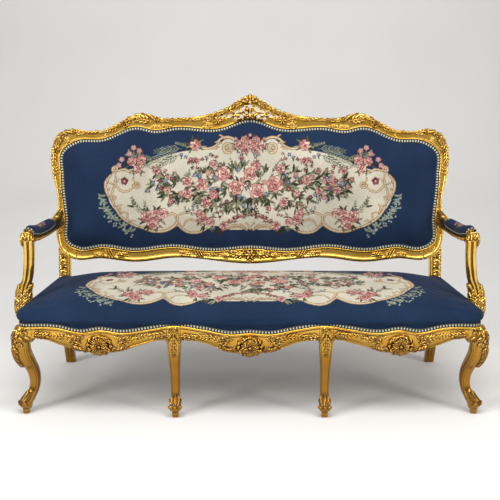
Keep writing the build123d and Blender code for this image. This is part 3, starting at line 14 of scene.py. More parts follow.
import bmesh
import bpy
import numpy as np
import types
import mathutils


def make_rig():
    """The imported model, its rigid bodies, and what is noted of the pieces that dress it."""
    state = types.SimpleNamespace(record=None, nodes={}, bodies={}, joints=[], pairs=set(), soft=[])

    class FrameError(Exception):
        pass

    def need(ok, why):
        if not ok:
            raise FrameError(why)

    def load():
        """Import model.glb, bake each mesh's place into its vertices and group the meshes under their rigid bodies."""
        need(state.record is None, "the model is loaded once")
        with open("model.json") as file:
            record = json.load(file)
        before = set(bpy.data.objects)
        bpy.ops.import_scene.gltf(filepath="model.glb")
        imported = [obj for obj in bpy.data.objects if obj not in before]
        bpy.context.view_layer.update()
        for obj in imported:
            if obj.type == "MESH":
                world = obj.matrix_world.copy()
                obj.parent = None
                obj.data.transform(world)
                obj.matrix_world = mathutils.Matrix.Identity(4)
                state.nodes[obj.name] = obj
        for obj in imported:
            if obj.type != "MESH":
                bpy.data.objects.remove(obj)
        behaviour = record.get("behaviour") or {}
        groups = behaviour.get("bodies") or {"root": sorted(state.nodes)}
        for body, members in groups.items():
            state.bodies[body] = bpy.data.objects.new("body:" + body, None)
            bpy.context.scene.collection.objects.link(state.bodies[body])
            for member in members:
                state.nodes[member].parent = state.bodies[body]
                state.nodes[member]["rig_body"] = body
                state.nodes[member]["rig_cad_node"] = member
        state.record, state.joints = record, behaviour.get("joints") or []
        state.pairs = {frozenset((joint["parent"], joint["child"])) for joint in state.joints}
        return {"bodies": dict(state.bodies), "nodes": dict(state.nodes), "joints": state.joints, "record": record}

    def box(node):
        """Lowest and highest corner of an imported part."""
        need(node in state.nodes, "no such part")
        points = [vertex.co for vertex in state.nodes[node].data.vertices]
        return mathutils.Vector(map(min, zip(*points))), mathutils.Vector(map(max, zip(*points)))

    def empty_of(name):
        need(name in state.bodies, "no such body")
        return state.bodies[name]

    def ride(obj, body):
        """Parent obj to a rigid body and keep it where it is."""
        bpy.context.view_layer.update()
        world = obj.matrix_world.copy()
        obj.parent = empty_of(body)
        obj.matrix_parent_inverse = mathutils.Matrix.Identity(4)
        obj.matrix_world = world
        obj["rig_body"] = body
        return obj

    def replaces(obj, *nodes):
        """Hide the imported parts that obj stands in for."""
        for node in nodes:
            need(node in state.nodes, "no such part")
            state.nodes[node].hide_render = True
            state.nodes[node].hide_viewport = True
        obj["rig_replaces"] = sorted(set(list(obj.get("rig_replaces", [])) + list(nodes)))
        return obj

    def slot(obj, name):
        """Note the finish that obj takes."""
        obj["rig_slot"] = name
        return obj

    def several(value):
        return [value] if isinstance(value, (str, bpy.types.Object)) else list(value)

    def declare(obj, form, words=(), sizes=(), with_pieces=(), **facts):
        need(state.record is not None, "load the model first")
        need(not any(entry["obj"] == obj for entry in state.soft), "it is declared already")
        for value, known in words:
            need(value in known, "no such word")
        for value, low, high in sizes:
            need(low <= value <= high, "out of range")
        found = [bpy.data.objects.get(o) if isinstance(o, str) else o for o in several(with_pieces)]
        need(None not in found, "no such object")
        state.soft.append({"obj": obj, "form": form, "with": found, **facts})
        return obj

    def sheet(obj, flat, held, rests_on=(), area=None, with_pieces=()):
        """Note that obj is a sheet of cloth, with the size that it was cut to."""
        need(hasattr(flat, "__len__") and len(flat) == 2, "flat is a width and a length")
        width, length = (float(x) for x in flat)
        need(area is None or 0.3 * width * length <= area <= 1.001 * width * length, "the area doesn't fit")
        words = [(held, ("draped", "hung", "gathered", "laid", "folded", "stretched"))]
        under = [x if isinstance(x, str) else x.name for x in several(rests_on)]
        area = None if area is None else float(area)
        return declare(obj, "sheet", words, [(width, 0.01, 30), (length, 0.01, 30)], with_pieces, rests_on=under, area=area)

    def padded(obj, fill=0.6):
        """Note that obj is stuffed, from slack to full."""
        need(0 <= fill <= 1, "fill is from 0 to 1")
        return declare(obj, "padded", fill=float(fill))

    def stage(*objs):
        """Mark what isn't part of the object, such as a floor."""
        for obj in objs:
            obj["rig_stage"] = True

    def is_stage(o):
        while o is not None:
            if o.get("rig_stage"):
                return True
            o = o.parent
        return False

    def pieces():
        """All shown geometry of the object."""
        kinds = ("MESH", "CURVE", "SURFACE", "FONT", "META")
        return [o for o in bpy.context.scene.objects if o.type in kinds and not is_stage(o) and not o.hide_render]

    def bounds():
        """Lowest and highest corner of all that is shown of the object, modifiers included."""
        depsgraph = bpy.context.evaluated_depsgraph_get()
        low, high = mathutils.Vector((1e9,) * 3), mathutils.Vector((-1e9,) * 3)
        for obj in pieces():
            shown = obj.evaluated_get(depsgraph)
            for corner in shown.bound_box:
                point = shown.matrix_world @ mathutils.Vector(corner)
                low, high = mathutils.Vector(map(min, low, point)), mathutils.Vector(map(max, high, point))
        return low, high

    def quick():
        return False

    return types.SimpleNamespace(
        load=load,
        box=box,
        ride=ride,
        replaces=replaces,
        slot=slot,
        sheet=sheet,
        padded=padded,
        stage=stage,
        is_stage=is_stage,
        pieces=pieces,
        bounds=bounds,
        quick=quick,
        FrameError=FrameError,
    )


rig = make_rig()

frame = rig.load()
nodes = frame["nodes"]
cad_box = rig.bounds()
MM = 0.001
SEAT_BACK = 236.0  # the back of the rear seat rail, as the drawings have it
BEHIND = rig.box("rear_seat_rail")[1][1] / MM - SEAT_BACK  # from the drawings' depths to the frame's
print("nodes:", len(nodes), "box:", cad_box, "depth shift:", round(BEHIND, 2))

# %% [markdown]
# ## Writing materials as sums
#
# A node tree is easier to read as arithmetic. `Flow` wraps one socket, so that `1 - mask * 0.5` adds
# its own Math nodes. Every other node comes from `Finish.node`, which sets the node's settings first
# and then the values or links of its sockets.


# %% Shader helpers
class Flow:
    """One output of a node, on which numbers are worked out."""

    def __init__(self, finish, socket):
        self.finish, self.socket = finish, socket

    def sum_with(self, operation, first, second):
        return self.finish.node("Math", {"operation": operation}, {0: first, 1: second})

    def __add__(self, other):
        return self.sum_with("ADD", self, other)

    def __radd__(self, other):
        return self.sum_with("ADD", other, self)

    def __sub__(self, other):
        return self.sum_with("SUBTRACT", self, other)

    def __rsub__(self, other):
        return self.sum_with("SUBTRACT", other, self)

    def __mul__(self, other):
        return self.sum_with("MULTIPLY", self, other)

    def __rmul__(self, other):
        return self.sum_with("MULTIPLY", other, self)

    def pick(self, name):
        """Another output of the same node."""
        return Flow(self.finish, self.socket.node.outputs[name])


class Finish:
    """A material under construction."""

    def __init__(self, name):
        self.material = bpy.data.materials.new(name)
        self.material.use_nodes = True
        self.tree = self.material.node_tree
        self.tree.nodes.clear()
        self.shader = self.tree.nodes.new("ShaderNodeBsdfPrincipled")
        output = self.tree.nodes.new("ShaderNodeOutputMaterial")
        self.tree.links.new(self.shader.outputs[0], output.inputs[0])

    def give(self, socket, value):
        if isinstance(value, Flow):
            self.tree.links.new(value.socket, socket)
        elif hasattr(value, "__len__") and socket.type == "RGBA":
            socket.default_value = (*value, 1.0)
        else:
            socket.default_value = value

    def node(self, kind, settings, values):
        made = self.tree.nodes.new("ShaderNode" + kind)
        for key, value in settings.items():
            if key == "stops":
                stops = made.color_ramp.elements
                while len(stops) < len(value):
                    stops.new(0.5)
                for stop, (place, colour) in zip(stops, value):
                    stop.position, stop.color = place, (*colour, 1.0)
            else:
                setattr(made, key, value)
        for key, value in values.items():
            self.give(made.inputs[key], value)
        shown = [socket for socket in made.outputs if socket.enabled]
        return Flow(self, shown[0])

    def set(self, **values):
        """Sets the shader's own sockets, with spaces written as underscores."""
        for key, value in values.items():
            self.give(self.shader.inputs[key.replace("_", " ")], value)
        return self.material

    def place(self, scale=(1, 1, 1)):
        """Object coordinates, in metres, stretched."""
        coordinates = self.node("TexCoord", {}, {}).pick("Object")
        return self.node("Mapping", {}, {"Vector": coordinates, "Scale": scale})

    def noise(self, size, detail=2.0, scale=(1, 1, 1)):
        """Noise whose blots are about a size in millimetres."""
        return self.node("TexNoise", {}, {"Vector": self.place(scale), "Scale": 1 / (size * MM), "Detail": detail})

    def attribute(self, name):
        """A number kept on each corner of the mesh."""
        return self.node("Attribute", {"attribute_name": name}, {}).pick("Fac")

    def blend(self, share, first, second):
        """From the first colour to the second."""
        return self.node("Mix", {"data_type": "RGBA"}, {"Factor": share, 6: first, 7: second})

    def between(self, value, low, high):
        """0 under low, 1 over high, and smooth between."""
        return self.node(
            "MapRange", {"interpolation_type": "SMOOTHSTEP"}, {"Value": value, "From Min": low, "From Max": high}
        )

    def bump(self, height, strength, distance):
        return self.node("Bump", {}, {"Height": height, "Strength": strength, "Distance": distance * MM})


print("helpers ready")

# %% [markdown]
# ## The gilding
#
# Water gilding is real gold leaf on red clay, burnished, then toned with brown in the hollows and
# rubbed through on the high points. A metal shader gives the gold. The carving helpers below store how
# deep each point lies in an attribute called hollow, and the finish darkens and dulls the leaf there,
# partly as that brown toning and partly as painted shade in the recesses, creases and carved flanks.
# The finish also paints shade that darkens the leaf towards the floor.
# A picture of gilding would have to be unwrapped over every leaf, so an attribute is simpler.


# %% Gilding
def gilding():
    finish = Finish("gilding")
    hollow = finish.attribute("hollow")
    cloud = finish.noise(60, 3)
    fleck = finish.noise(7, 4)
    tone = finish.between(cloud + fleck * 0.35, 0.42, 0.95)
    leaf = finish.blend(tone, (0.75, 0.41, 0.045), (0.94, 0.61, 0.125))
    rubbed = finish.between(fleck * 0.6 + cloud * 0.5, 0.60, 0.72)
    leaf = finish.blend(rubbed * 0.45, leaf, (0.50, 0.19, 0.022))
    # Painted shade: the leaf is darkened towards the floor, most at 0.19 m and below and not at all above 0.42 m
    height = finish.node("SeparateXYZ", {}, {"Vector": finish.place()}).pick("Z")
    leaf = finish.blend(0.84 - finish.between(height, 0.19, 0.42) * 0.84, leaf, (0.24, 0.092, 0.003))
    # Brown toning in the hollows together with painted shade in the recesses, creases and round each carved stroke: it
    # turns the leaf near black, less metallic and rougher
    toning_and_shade = finish.between(hollow + fleck * 0.3, 0.20, 0.85)
    colour = finish.blend(toning_and_shade * 0.96, leaf, (0.075, 0.028, 0.003))
    rough = 0.20 + toning_and_shade * 0.38 + fleck * 0.10
    normal = finish.bump(fleck + cloud * 2.0, 0.25, 0.6)
    return finish.set(Base_Color=colour, Metallic=1.0 - toning_and_shade * 0.35, Roughness=rough, Normal=normal,
                      Coat_Weight=0.22, Coat_Roughness=0.18)


GILDING = gilding()
print("gilding:", len(GILDING.node_tree.nodes), "nodes")

# %% [markdown]
# ## Woven cloth
#
# The cover is a flat woven tapestry in a deep blue. Its flowers are worked in the same threads, so
# their colours are kept on the mesh, one colour to each small square, much as a weaver counts them.
# The weave itself is a fine rib that the finish makes from two waves and a little noise.


# %% Cloth finishes
def weave(finish, pitch):
    """The height of a plain weave, with its threads along the cloth's own directions."""
    place = finish.node("UVMap", {"uv_map": "cloth"}, {})
    parts = finish.node("SeparateXYZ", {}, {"Vector": place})
    turn = 2 * math.pi / (pitch * MM)
    across = finish.node("Math", {"operation": "SINE"}, {0: parts * turn})
    along = finish.node("Math", {"operation": "SINE"}, {0: parts.pick("Y") * turn})
    return across * along


def tapestry():
    finish = Finish("tapestry")
    threads = weave(finish, 2.6)
    slub = finish.noise(5, 3)
    cloud = finish.noise(160, 2)
    woven = finish.node("Attribute", {"attribute_name": "woven"}, {})
    dark = finish.node("HueSaturation", {}, {"Value": 0.62, "Color": woven})
    light = finish.node("HueSaturation", {}, {"Value": 1.22, "Color": woven})
    share = threads * 0.18 + slub * 0.45 + cloud * 0.45
    colour = finish.blend(finish.between(share, 0.15, 0.80), dark, light)
    normal = finish.bump(threads + slub * 1.5, 0.35, 0.5)
    return finish.set(
        Base_Color=colour, Roughness=0.9, Normal=normal, Sheen_Weight=0.03, Sheen_Roughness=0.5,
        Specular_IOR_Level=0.12,
    )


def plain_cloth(name, colour, pitch, sheen=0.2):
    """A cloth of one colour, whose threads are two crossing waves."""
    finish = Finish(name)
    bands = [
        finish.node(
            "TexWave", {"wave_type": "BANDS", "bands_direction": way},
            {"Vector": finish.place(), "Scale": 0.314 / (pitch * MM), "Distortion": 1.0, "Detail": 2.0},
        )
        for way in "XZ"
    ]
    height = bands[0] * bands[1]
    slub = finish.noise(9, 3)
    shade = [c * 0.62 for c in colour]
    tinted = finish.blend(finish.between(height * 0.5 + slub * 0.7, 0.2, 0.8), shade, colour)
    return finish.set(
        Base_Color=tinted, Roughness=0.9, Normal=finish.bump(height, 0.35, 0.5), Sheen_Weight=sheen,
        Specular_IOR_Level=0.2,
    )


def braid():
    """A scalloped braid: cream knots on a navy ground, with grey-green edges."""
    finish = Finish("braid")
    parts = finish.node("SeparateXYZ", {}, {"Vector": finish.node("UVMap", {"uv_map": "cloth"}, {})})
    along, across = parts * (1 / (11.5 * MM)), parts.pick("Y")
    phase = finish.node("Math", {"operation": "FRACT"}, {0: along})
    side, rise = phase - 0.5, across - 0.45
    cord = 1.0 - finish.between(side * side * 3.0 + rise * rise * 1.5, 0.09, 0.26)
    edge = finish.between(finish.node("Math", {"operation": "ABSOLUTE"}, {0: across - 0.5}), 0.36, 0.46)
    thread = finish.noise(2.0, 2)
    ground = finish.blend(edge * 0.35, (0.008, 0.012, 0.024), (0.10, 0.11, 0.09))
    colour = finish.blend(cord, ground, (0.56, 0.55, 0.41))
    colour = finish.blend(finish.between(thread, 0.35, 0.75) * 0.35, colour, (0.20, 0.20, 0.14))
    return finish.set(
        Base_Color=colour, Roughness=0.8, Normal=finish.bump(cord + thread * 0.3, 0.6, 1.0),
        Specular_IOR_Level=0.3,
    )


TAPESTRY = tapestry()
BRAID = braid()
NAVY_CLOTH = plain_cloth("navy cloth", (0.020, 0.036, 0.085), 1.8)
JUTE = plain_cloth("jute", (0.42, 0.30, 0.16), 4.0, sheen=0.0)
STUFFING = plain_cloth("stuffing", (0.75, 0.70, 0.55), 3.0, sheen=0.0)
LINING = plain_cloth("black lining", (0.016, 0.016, 0.018), 1.5, sheen=0.1)
print("cloths:", [cloth.name for cloth in (TAPESTRY, BRAID, NAVY_CLOTH, JUTE, STUFFING, LINING)])

# %% [markdown]
# ## Beech and steel
#
# Inside the seat the frame is bare beech. Its grain is noise drawn out along the rail. The screws are
# plain steel.


# %% Inner finishes
def beech():
    finish = Finish("bare beech")
    grain = finish.noise(5, 5, (0.12, 1, 1))
    fleck = finish.noise(2.5, 2, (0.4, 1, 1))
    colour = finish.blend(finish.between(grain, 0.35, 0.68), (0.46, 0.27, 0.13), (0.64, 0.42, 0.23))
    colour = finish.blend(finish.between(fleck, 0.62, 0.70) * 0.4, colour, (0.32, 0.17, 0.08))
    return finish.set(Base_Color=colour, Roughness=0.62 + grain * 0.1, Normal=finish.bump(grain, 0.15, 0.4))


def steel():
    finish = Finish("screw steel")
    wear = finish.noise(3, 3)
    colour = finish.blend(wear, (0.42, 0.42, 0.43), (0.62, 0.61, 0.58))
    return finish.set(Base_Color=colour, Metallic=1.0, Roughness=0.30 + wear * 0.15)


BEECH, STEEL = beech(), steel()
PLAIN = {
    "gilt_wood": GILDING, "bare_wood": BEECH, "screw_steel": STEEL, "tapestry": TAPESTRY, "braid": BRAID,
    "back_cloth": NAVY_CLOTH, "jute": JUTE, "stuffing": STUFFING, "dust_cloth": LINING,
}
for row in frame["record"]["subparts"]:
    for holder in nodes[row["node"]].material_slots:
        holder.material = PLAIN[row["material_slot"]]
print("materials:", len(bpy.data.materials))

# %% [markdown]
# ## Drawing lines as a carver does
#
# Every outline of the frame is a smooth line through a few measured points. `smooth_path` bends
# through them with the same tangents as the CAD's arcs, and steps along it evenly.


# %% Paths
def walked(path):
    """How far along a path each of its points lies."""
    return np.concatenate([[0], np.cumsum(np.linalg.norm(np.diff(path, axis=0), axis=1))])


def read_off(share, run, rows):
    """Rows of numbers, read off at places along a run."""
    return np.stack([np.interp(share, run, rows[:, k]) for k in range(rows.shape[1])], 1)


def even(path, count):
    """A path walked in equal steps."""
    path = np.asarray(path, float)
    run = walked(path)
    return read_off(np.linspace(0, run[-1], count), run, path)


def ring(line, count):
    """A closed line in equal steps, whose last point isn't repeated."""
    return even(np.vstack([line, line[:1]]), count + 1)[:-1]


def smooth_path(points, closed=False, fine=14):
    """A smooth line through points."""
    points = np.asarray(points, float)
    if closed:
        points = np.vstack([points, points[:1]])
    chords = np.diff(points, axis=0)
    lengths = np.linalg.norm(chords, axis=1)
    unit = chords / lengths[:, None]
    tangents = np.empty_like(points)
    for i in range(len(points)):
        before, after = i - 1, i
        if closed and i in (0, len(points) - 1):
            before, after = len(chords) - 1, 0
        if before < 0:
            tangents[i] = unit[0]
        elif after >= len(chords):
            tangents[i] = unit[-1]
        else:
            mixed = unit[before] * lengths[after] + unit[after] * lengths[before]
            tangents[i] = mixed / np.linalg.norm(mixed)
    t = np.linspace(0, 1, fine, endpoint=False)[:, None]
    pieces = []
    for i in range(len(chords)):
        a, b = points[i], points[i + 1]
        u, v = tangents[i] * lengths[i], tangents[i + 1] * lengths[i]
        pieces.append(
            a * (2 * t**3 - 3 * t**2 + 1) + u * (t**3 - 2 * t**2 + t)
            + b * (3 * t**2 - 2 * t**3) + v * (t**3 - t**2)
        )
    return np.vstack(pieces + [points[-1:]])


def smooth_values(keys, values, wanted):
    """Numbers that change smoothly between keys."""
    line = smooth_path(np.stack([np.asarray(keys, float), np.asarray(values, float)], 1))
    return np.interp(wanted, line[:, 0], line[:, 1])
def from_table(rows, column, wanted):
    """One column of a table, smooth between the keys in its first column."""
    return smooth_values([row[0] for row in rows], [row[column] for row in rows], wanted)


def length_of(path):
    return float(np.linalg.norm(np.diff(path, axis=0), axis=1).sum())


def toward(way):
    """A step of 1 at an angle in degrees."""
    return np.array([math.cos(math.radians(way)), math.sin(math.radians(way))])


print("a quarter turn in even steps:", even(smooth_path([(0, 1), (0.7, 0.7), (1, 0)]), 4).round(2).tolist())

# %% [markdown]
# ## Strokes: the carver's gouge and the weaver's thread
#
# A leaf, a scroll or a petal is one or more strokes: a short path with a width at each point. The same
# stroke can be raised on wood, as a ridge that swells and tapers, or worked in colour on the cloth.
# `near` finds the points under a stroke and how far out they lie, from 0 on its middle to 1 at its edge.


# %% Strokes
def near(x, y, path, widths, reach=1.0):
    """Which points lie under a stroke, how far out, and how far along."""
    path, widths = np.asarray(path, float), np.asarray(widths, float)
    room = widths.max() * reach
    low, high = path.min(0) - room, path.max(0) + room
    found = np.nonzero((x > low[0]) & (x < high[0]) & (y > low[1]) & (y < high[1]))[0]
    if len(found) == 0:
        return found, None, None
    px, py = x[found], y[found]
    best, along = np.full(len(found), 1e9), np.zeros(len(found))
    count = max(1, len(path) - 1)
    for i in range(count):
        a, b = path[i], path[min(i + 1, len(path) - 1)]
        d = b - a
        t = np.clip(((px - a[0]) * d[0] + (py - a[1]) * d[1]) / max(d @ d, 1e-12), 0, 1)
        width = widths[i] + (widths[min(i + 1, len(widths) - 1)] - widths[i]) * t
        out = np.hypot(px - a[0] - d[0] * t, py - a[1] - d[1] * t) / np.maximum(width, 1e-3)
        closer = out < best
        best[closer], along[closer] = out[closer], ((i + t) / count)[closer]
    under = best < reach
    return found[under], best[under], along[under]


def bent(start, angle, length, bend, count=7):
    """A path from a point, at an angle in degrees, that turns by bend degrees on its way."""
    turns = np.radians(angle + np.linspace(0, bend, count - 1))
    steps = np.stack([np.cos(turns), np.sin(turns)], 1) * (length / (count - 1))
    return np.vstack([[start], np.asarray(start) + np.cumsum(steps, 0)])


LEAF_SWELL = np.array([0.55, 0.85, 1.0, 0.95, 0.75, 0.45, 0.10])
LOBE_SWELL = np.array([0.45, 0.75, 0.95, 1.0, 0.9, 0.65, 0.25])


def leaf(start, angle, length, width, height, bend=0.0, lobes=4):
    """An acanthus leaf: a midrib with pairs of rounded lobes that lean to its tip."""
    strokes = []
    rib = bent(start, angle, length, bend)
    for k in range(lobes, 0, -1):
        share = 0.12 + 0.66 * (k - 1) / max(1, lobes - 1)
        place = even(rib, 41)[int(share * 40)]
        size = width * 1.3 * (1.0 - 0.45 * abs(share - 0.4))
        for side in (1, -1):
            way = angle + bend * share + side * (62 - 26 * share)
            strokes.append((bent(place, way, size, -side * 34), LOBE_SWELL * size * 0.27, height * 0.95))
    strokes.append((rib, LEAF_SWELL * width * 0.22, height * 1.15))
    return strokes


def scroll(start, angle, length, turns, width, height, hand=1):
    """A scroll: a stem that winds up into an eye."""
    count = 26
    share = np.linspace(0, 1, count)
    radius = length / (2 * math.pi * turns) * 1.9 * (1 - share) ** 0.9 + width * 0.8
    turn = np.radians(angle) + hand * 2 * math.pi * turns * share
    steps = np.stack([np.cos(turn), np.sin(turn)], 1)
    steps *= (radius * 2 * math.pi * turns / count)[:, None]
    path = np.vstack([[start], np.asarray(start) + np.cumsum(steps, 0)])
    widths = width * (1.0 - 0.55 * np.linspace(0, 1, count + 1))
    return [(path, widths, height), (path[-1:], [width * 1.15], height * 1.25)]


def c_scroll(first, last, bulge, width, height, curl=1.0):
    """A C scroll between two points that bulges to one side and curls in at both ends."""
    first, last = np.asarray(first, float), np.asarray(last, float)
    chord = last - first
    side = np.array([-chord[1], chord[0]])
    size = math.hypot(*chord)
    share = np.linspace(0, 1, 13)[:, None]
    body = first + chord * share + side * bulge * 4 * share * (1 - share)
    strokes = [(body, width * (0.65 + 0.45 * np.sin(np.pi * share[:, 0])), height)]
    for end, inside in ((body[0], body[1]), (body[-1], body[-2])):
        way = math.degrees(math.atan2(*(end - inside)[::-1]))
        hand = 1 if (bulge > 0) == (end is body[0]) else -1
        strokes += scroll(end, way, size * 0.42 * curl, 1.1, width * 0.62, height, hand)
    return strokes


def flower(middle, radius, height, petals=5):
    """A flower seen from above: round petals and a raised eye."""
    strokes = []
    for k in range(petals):
        way = 360 * k / petals
        start = np.asarray(middle) + radius * 0.25 * toward(way)
        swell = [radius * 0.20, radius * 0.34, radius * 0.30]
        strokes.append((bent(start, way, radius * 0.55, 0, 3), swell, height))
    return strokes + [([middle], [radius * 0.26], height * 1.5)]


def fan(hinge, angle, spread, length, width, height, ribs=7):
    """A shell: ribs that open from a hinge."""
    strokes = []
    for k in range(ribs):
        share = k / (ribs - 1) - 0.5
        way = angle + spread * share
        reach = length * (1 - 0.45 * abs(share) ** 1.5)
        strokes.append((bent(hinge, way, reach, 0, 4), [width * 0.30, width * 0.62, width * 0.95, width], height))
    strokes.append(([hinge], [width * 1.5], height * 1.1))
    return strokes


def mirrored(strokes):
    """The strokes and their mirror images across the middle line."""
    return strokes + [(np.asarray(path, float) * (-1, 1), widths, height) for path, widths, height in strokes]


def carve(x, y, strokes):
    """How high strokes stand at points, and how deep each point lies between them, from 0 to 1."""
    shape, x, y = np.shape(x), np.ravel(x), np.ravel(y)
    height, hollow = np.zeros(len(x)), np.zeros(len(x))
    for path, widths, rise in strokes:
        found, out, _ = near(x, y, path, widths, 1.7)
        if len(found) == 0:
            continue
        inside = out < 1
        ridge = np.zeros(len(found))
        ridge[inside] = rise * (1 - out[inside] ** 2) ** 0.6
        height[found] = np.maximum(height[found], ridge)
        # The hollow is highest round each stroke's outline, on its flank and in the gap beside it; the gilding paints
        # shade and brown toning there
        edge = np.clip(1 - np.abs(out - 1.0) / 0.5, 0, 1) * min(1.0, rise / 3.0)
        top = inside & (ridge >= height[found] - 1e-6)
        deeper = np.maximum(hollow[found], edge)
        hollow[found] = np.where(top, edge * 0.9, deeper)
    return height.reshape(shape), hollow.reshape(shape)


print("a leaf is", len(leaf((0, 0), 0, 60, 20, 5)), "strokes")

# %% [markdown]
# ## Boards and tubes
#
# Two kinds of mesh carry all the carving. A board is a grid with a front and a back and walls wherever
# the grid ends, also round a pierced hole. A tube is a row of closed sections. Both keep the hollow
# attribute, and both are made with plain arrays, which is quick enough for a fine grid.


# %% Mesh makers
def faced_out(mesh):
    """Turns the faces of a mesh outwards."""
    shape = bmesh.new()
    shape.from_mesh(mesh)
    bmesh.ops.recalc_face_normals(shape, faces=shape.faces)
    shape.to_mesh(mesh)
    shape.free()


def placed(name, data):
    """A new object in the scene."""
    made = bpy.data.objects.new(name, data)
    bpy.context.scene.collection.objects.link(made)
    return made


def declared(made, replaced, slot):
    """Says what a piece rides on, which CAD nodes it stands for and its slot."""
    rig.ride(made, "root")
    if replaced is not None:
        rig.replaces(made, *replaced)
    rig.slot(made, slot)
    return made


def smoothed(mesh):
    mesh.polygons.foreach_set("use_smooth", [True] * len(mesh.polygons))


def places_of(mesh):
    """Where each point of a mesh is, in metres."""
    places = np.empty(len(mesh.vertices) * 3, np.float32)
    mesh.vertices.foreach_get("co", places)
    return places.reshape(-1, 3)


def piece(name, points, faces, material, replaced, slot, hollow=None):
    """A mesh in metres that rides on the settee and stands for CAD nodes."""
    mesh = bpy.data.meshes.new(name)
    mesh.from_pydata((np.asarray(points) * MM).tolist(), [], [list(face) for face in faces])
    faced_out(mesh)
    if hollow is not None:
        layer = mesh.attributes.new("hollow", "FLOAT", "POINT")
        layer.data.foreach_set("value", np.asarray(hollow, np.float32))
    smoothed(mesh)
    mesh.materials.append(material)
    return declared(placed(name, mesh), replaced, slot)


def mirrored_piece(source, name, replaced, slot):
    """The left-hand copy of a right-hand piece."""
    mesh = source.data.copy()
    mesh.name = name
    mesh.vertices.foreach_set("co", (places_of(mesh) * (-1, 1, 1)).ravel())
    mesh.flip_normals()
    return declared(placed(name, mesh), replaced, slot)


def gilded(name, lot, *replaced):
    """A gilded piece from points, faces and how deep each point lies."""
    points, faces, shade = lot
    return piece(name, points, faces, GILDING, replaced, "gilt_wood", shade)


def gilded_pair(name, lot, node):
    """A gilded piece on the right, and its mirror image on the left."""
    right = gilded(name + "_right", lot, node + "_right")
    mirrored_piece(right, name + "_left", [node + "_left"], "gilt_wood")
    return right


def grid_faces(rows, columns, loop=False):
    """The squares of a grid of points; a loop joins each row's end to its start."""
    i, j = np.meshgrid(np.arange(rows - 1), np.arange(columns if loop else columns - 1), indexing="ij")
    k = (j + 1) % columns
    faces = np.stack([i * columns + j, i * columns + k, (i + 1) * columns + k, (i + 1) * columns + j], -1)
    return faces.reshape(-1, 4)


def board(front, back, keep=None):
    """Points and faces of a board between two grids of points, with walls round what is kept."""
    rows, columns, _ = front.shape
    if keep is None:
        keep = np.ones((rows - 1, columns - 1), bool)
    cells = grid_faces(rows, columns).reshape(rows - 1, columns - 1, 4)
    size = rows * columns
    faces = [cells[keep], (cells[keep] + size)[:, ::-1]]
    padded = np.pad(keep, 1)
    sides = (
        (padded[:-2, 1:-1], 0, 1), (padded[1:-1, 2:], 1, 2), (padded[2:, 1:-1], 2, 3), (padded[1:-1, :-2], 3, 0)
    )
    for neighbour, a, b in sides:
        edge = keep & ~neighbour
        pair = cells[edge]
        faces.append(np.stack([pair[:, b], pair[:, a], pair[:, a] + size, pair[:, b] + size], -1))
    return np.vstack([front.reshape(-1, 3), back.reshape(-1, 3)]), np.vstack(faces)


def tube(sections, shade=None):
    """A closed tube through sections, with a fan at each end: its points, faces and hollow."""
    rows, columns, _ = sections.shape
    faces = [list(face) for face in grid_faces(rows, columns, loop=True)]
    points = np.vstack([sections.reshape(-1, 3), sections[0].mean(0)[None], sections[-1].mean(0)[None]])
    last = rows * columns
    for j in range(columns):
        k = (j + 1) % columns
        faces.append([j, last, k])
        faces.append([last - columns + k, last + 1, last - columns + j])
    shade = np.zeros(last) if shade is None else np.ravel(shade)
    return points, faces, np.concatenate([shade, [0, 0]])


def joined(lots):
    """Several lots of points, faces and a value at each point as one."""
    faces, start = [], 0
    for points, some, _ in lots:
        faces += [[index + start for index in face] for face in some]
        start += len(points)
    return np.vstack([lot[0] for lot in lots]), faces, np.concatenate([lot[2] for lot in lots])


print("mesh makers ready")

# %% [markdown]
# ## The back's outlines
#
# The back frame leans nine degrees. It is drawn in its own plane, across and up the lean, with an
# outer edge and a sight edge, which is where the cloth begins. Each edge is given as shares of the
# back's half width and of its rise, from the middle of the crest round to the middle of the bottom rail.

# %% Back outlines
HALF_WIDTH, RISE = 844.0, 737.0
LEAN = math.radians(9.0)
BACK_START = (215.0, 440.0)
OUTER_SHARES = [
    (0, 1.0), (0.045, 0.978), (0.110, 0.932), (0.170, 0.903), (0.290, 0.877), (0.440, 0.871), (0.500, 0.888),
    (0.545, 0.897), (0.585, 0.885), (0.640, 0.852), (0.735, 0.803), (0.810, 0.796), (0.887, 0.807),
    (0.955, 0.780), (0.985, 0.725), (0.997, 0.590), (0.968, 0.420), (0.968, 0.150), (0.950, 0.100),
    (0.900, 0.062), (0.750, 0.062), (0.580, 0.042), (0.380, 0.066), (0, 0.032),
]
SIGHT_SHARES = [
    (0, 0.859), (0.160, 0.806), (0.370, 0.814), (0.480, 0.797), (0.560, 0.816), (0.740, 0.748),
    (0.870, 0.736), (0.940, 0.680), (0.947, 0.540), (0.930, 0.300), (0.918, 0.148),
    (0.865, 0.117), (0.740, 0.130), (0.590, 0.108), (0.390, 0.130), (0.190, 0.107), (0, 0.122),
]
CREST_JOINT, SHOULDER_JOINT, BOTTOM_JOINT = 0.738 * HALF_WIDTH, 0.462 * RISE, 0.872 * HALF_WIDTH


def half_edge(shares):
    """The right half of an edge as a fine path, smooth also where it crosses the middle."""
    half = np.array(shares) * (HALF_WIDTH, RISE)
    whole = np.vstack([half, (half[1:-1] * (-1, 1))[::-1]])
    return smooth_path(whole, closed=True)[: (len(half) - 1) * 14 + 1]


def meeting(path, axis, value, first):
    """Where a path first crosses a value, looked for after a point."""
    level = path[:, axis] - value
    return int(np.nonzero(level[first:-1] * level[first + 1:] <= 0)[0][0]) + first


OUTER, SIGHT = half_edge(OUTER_SHARES), half_edge(SIGHT_SHARES)
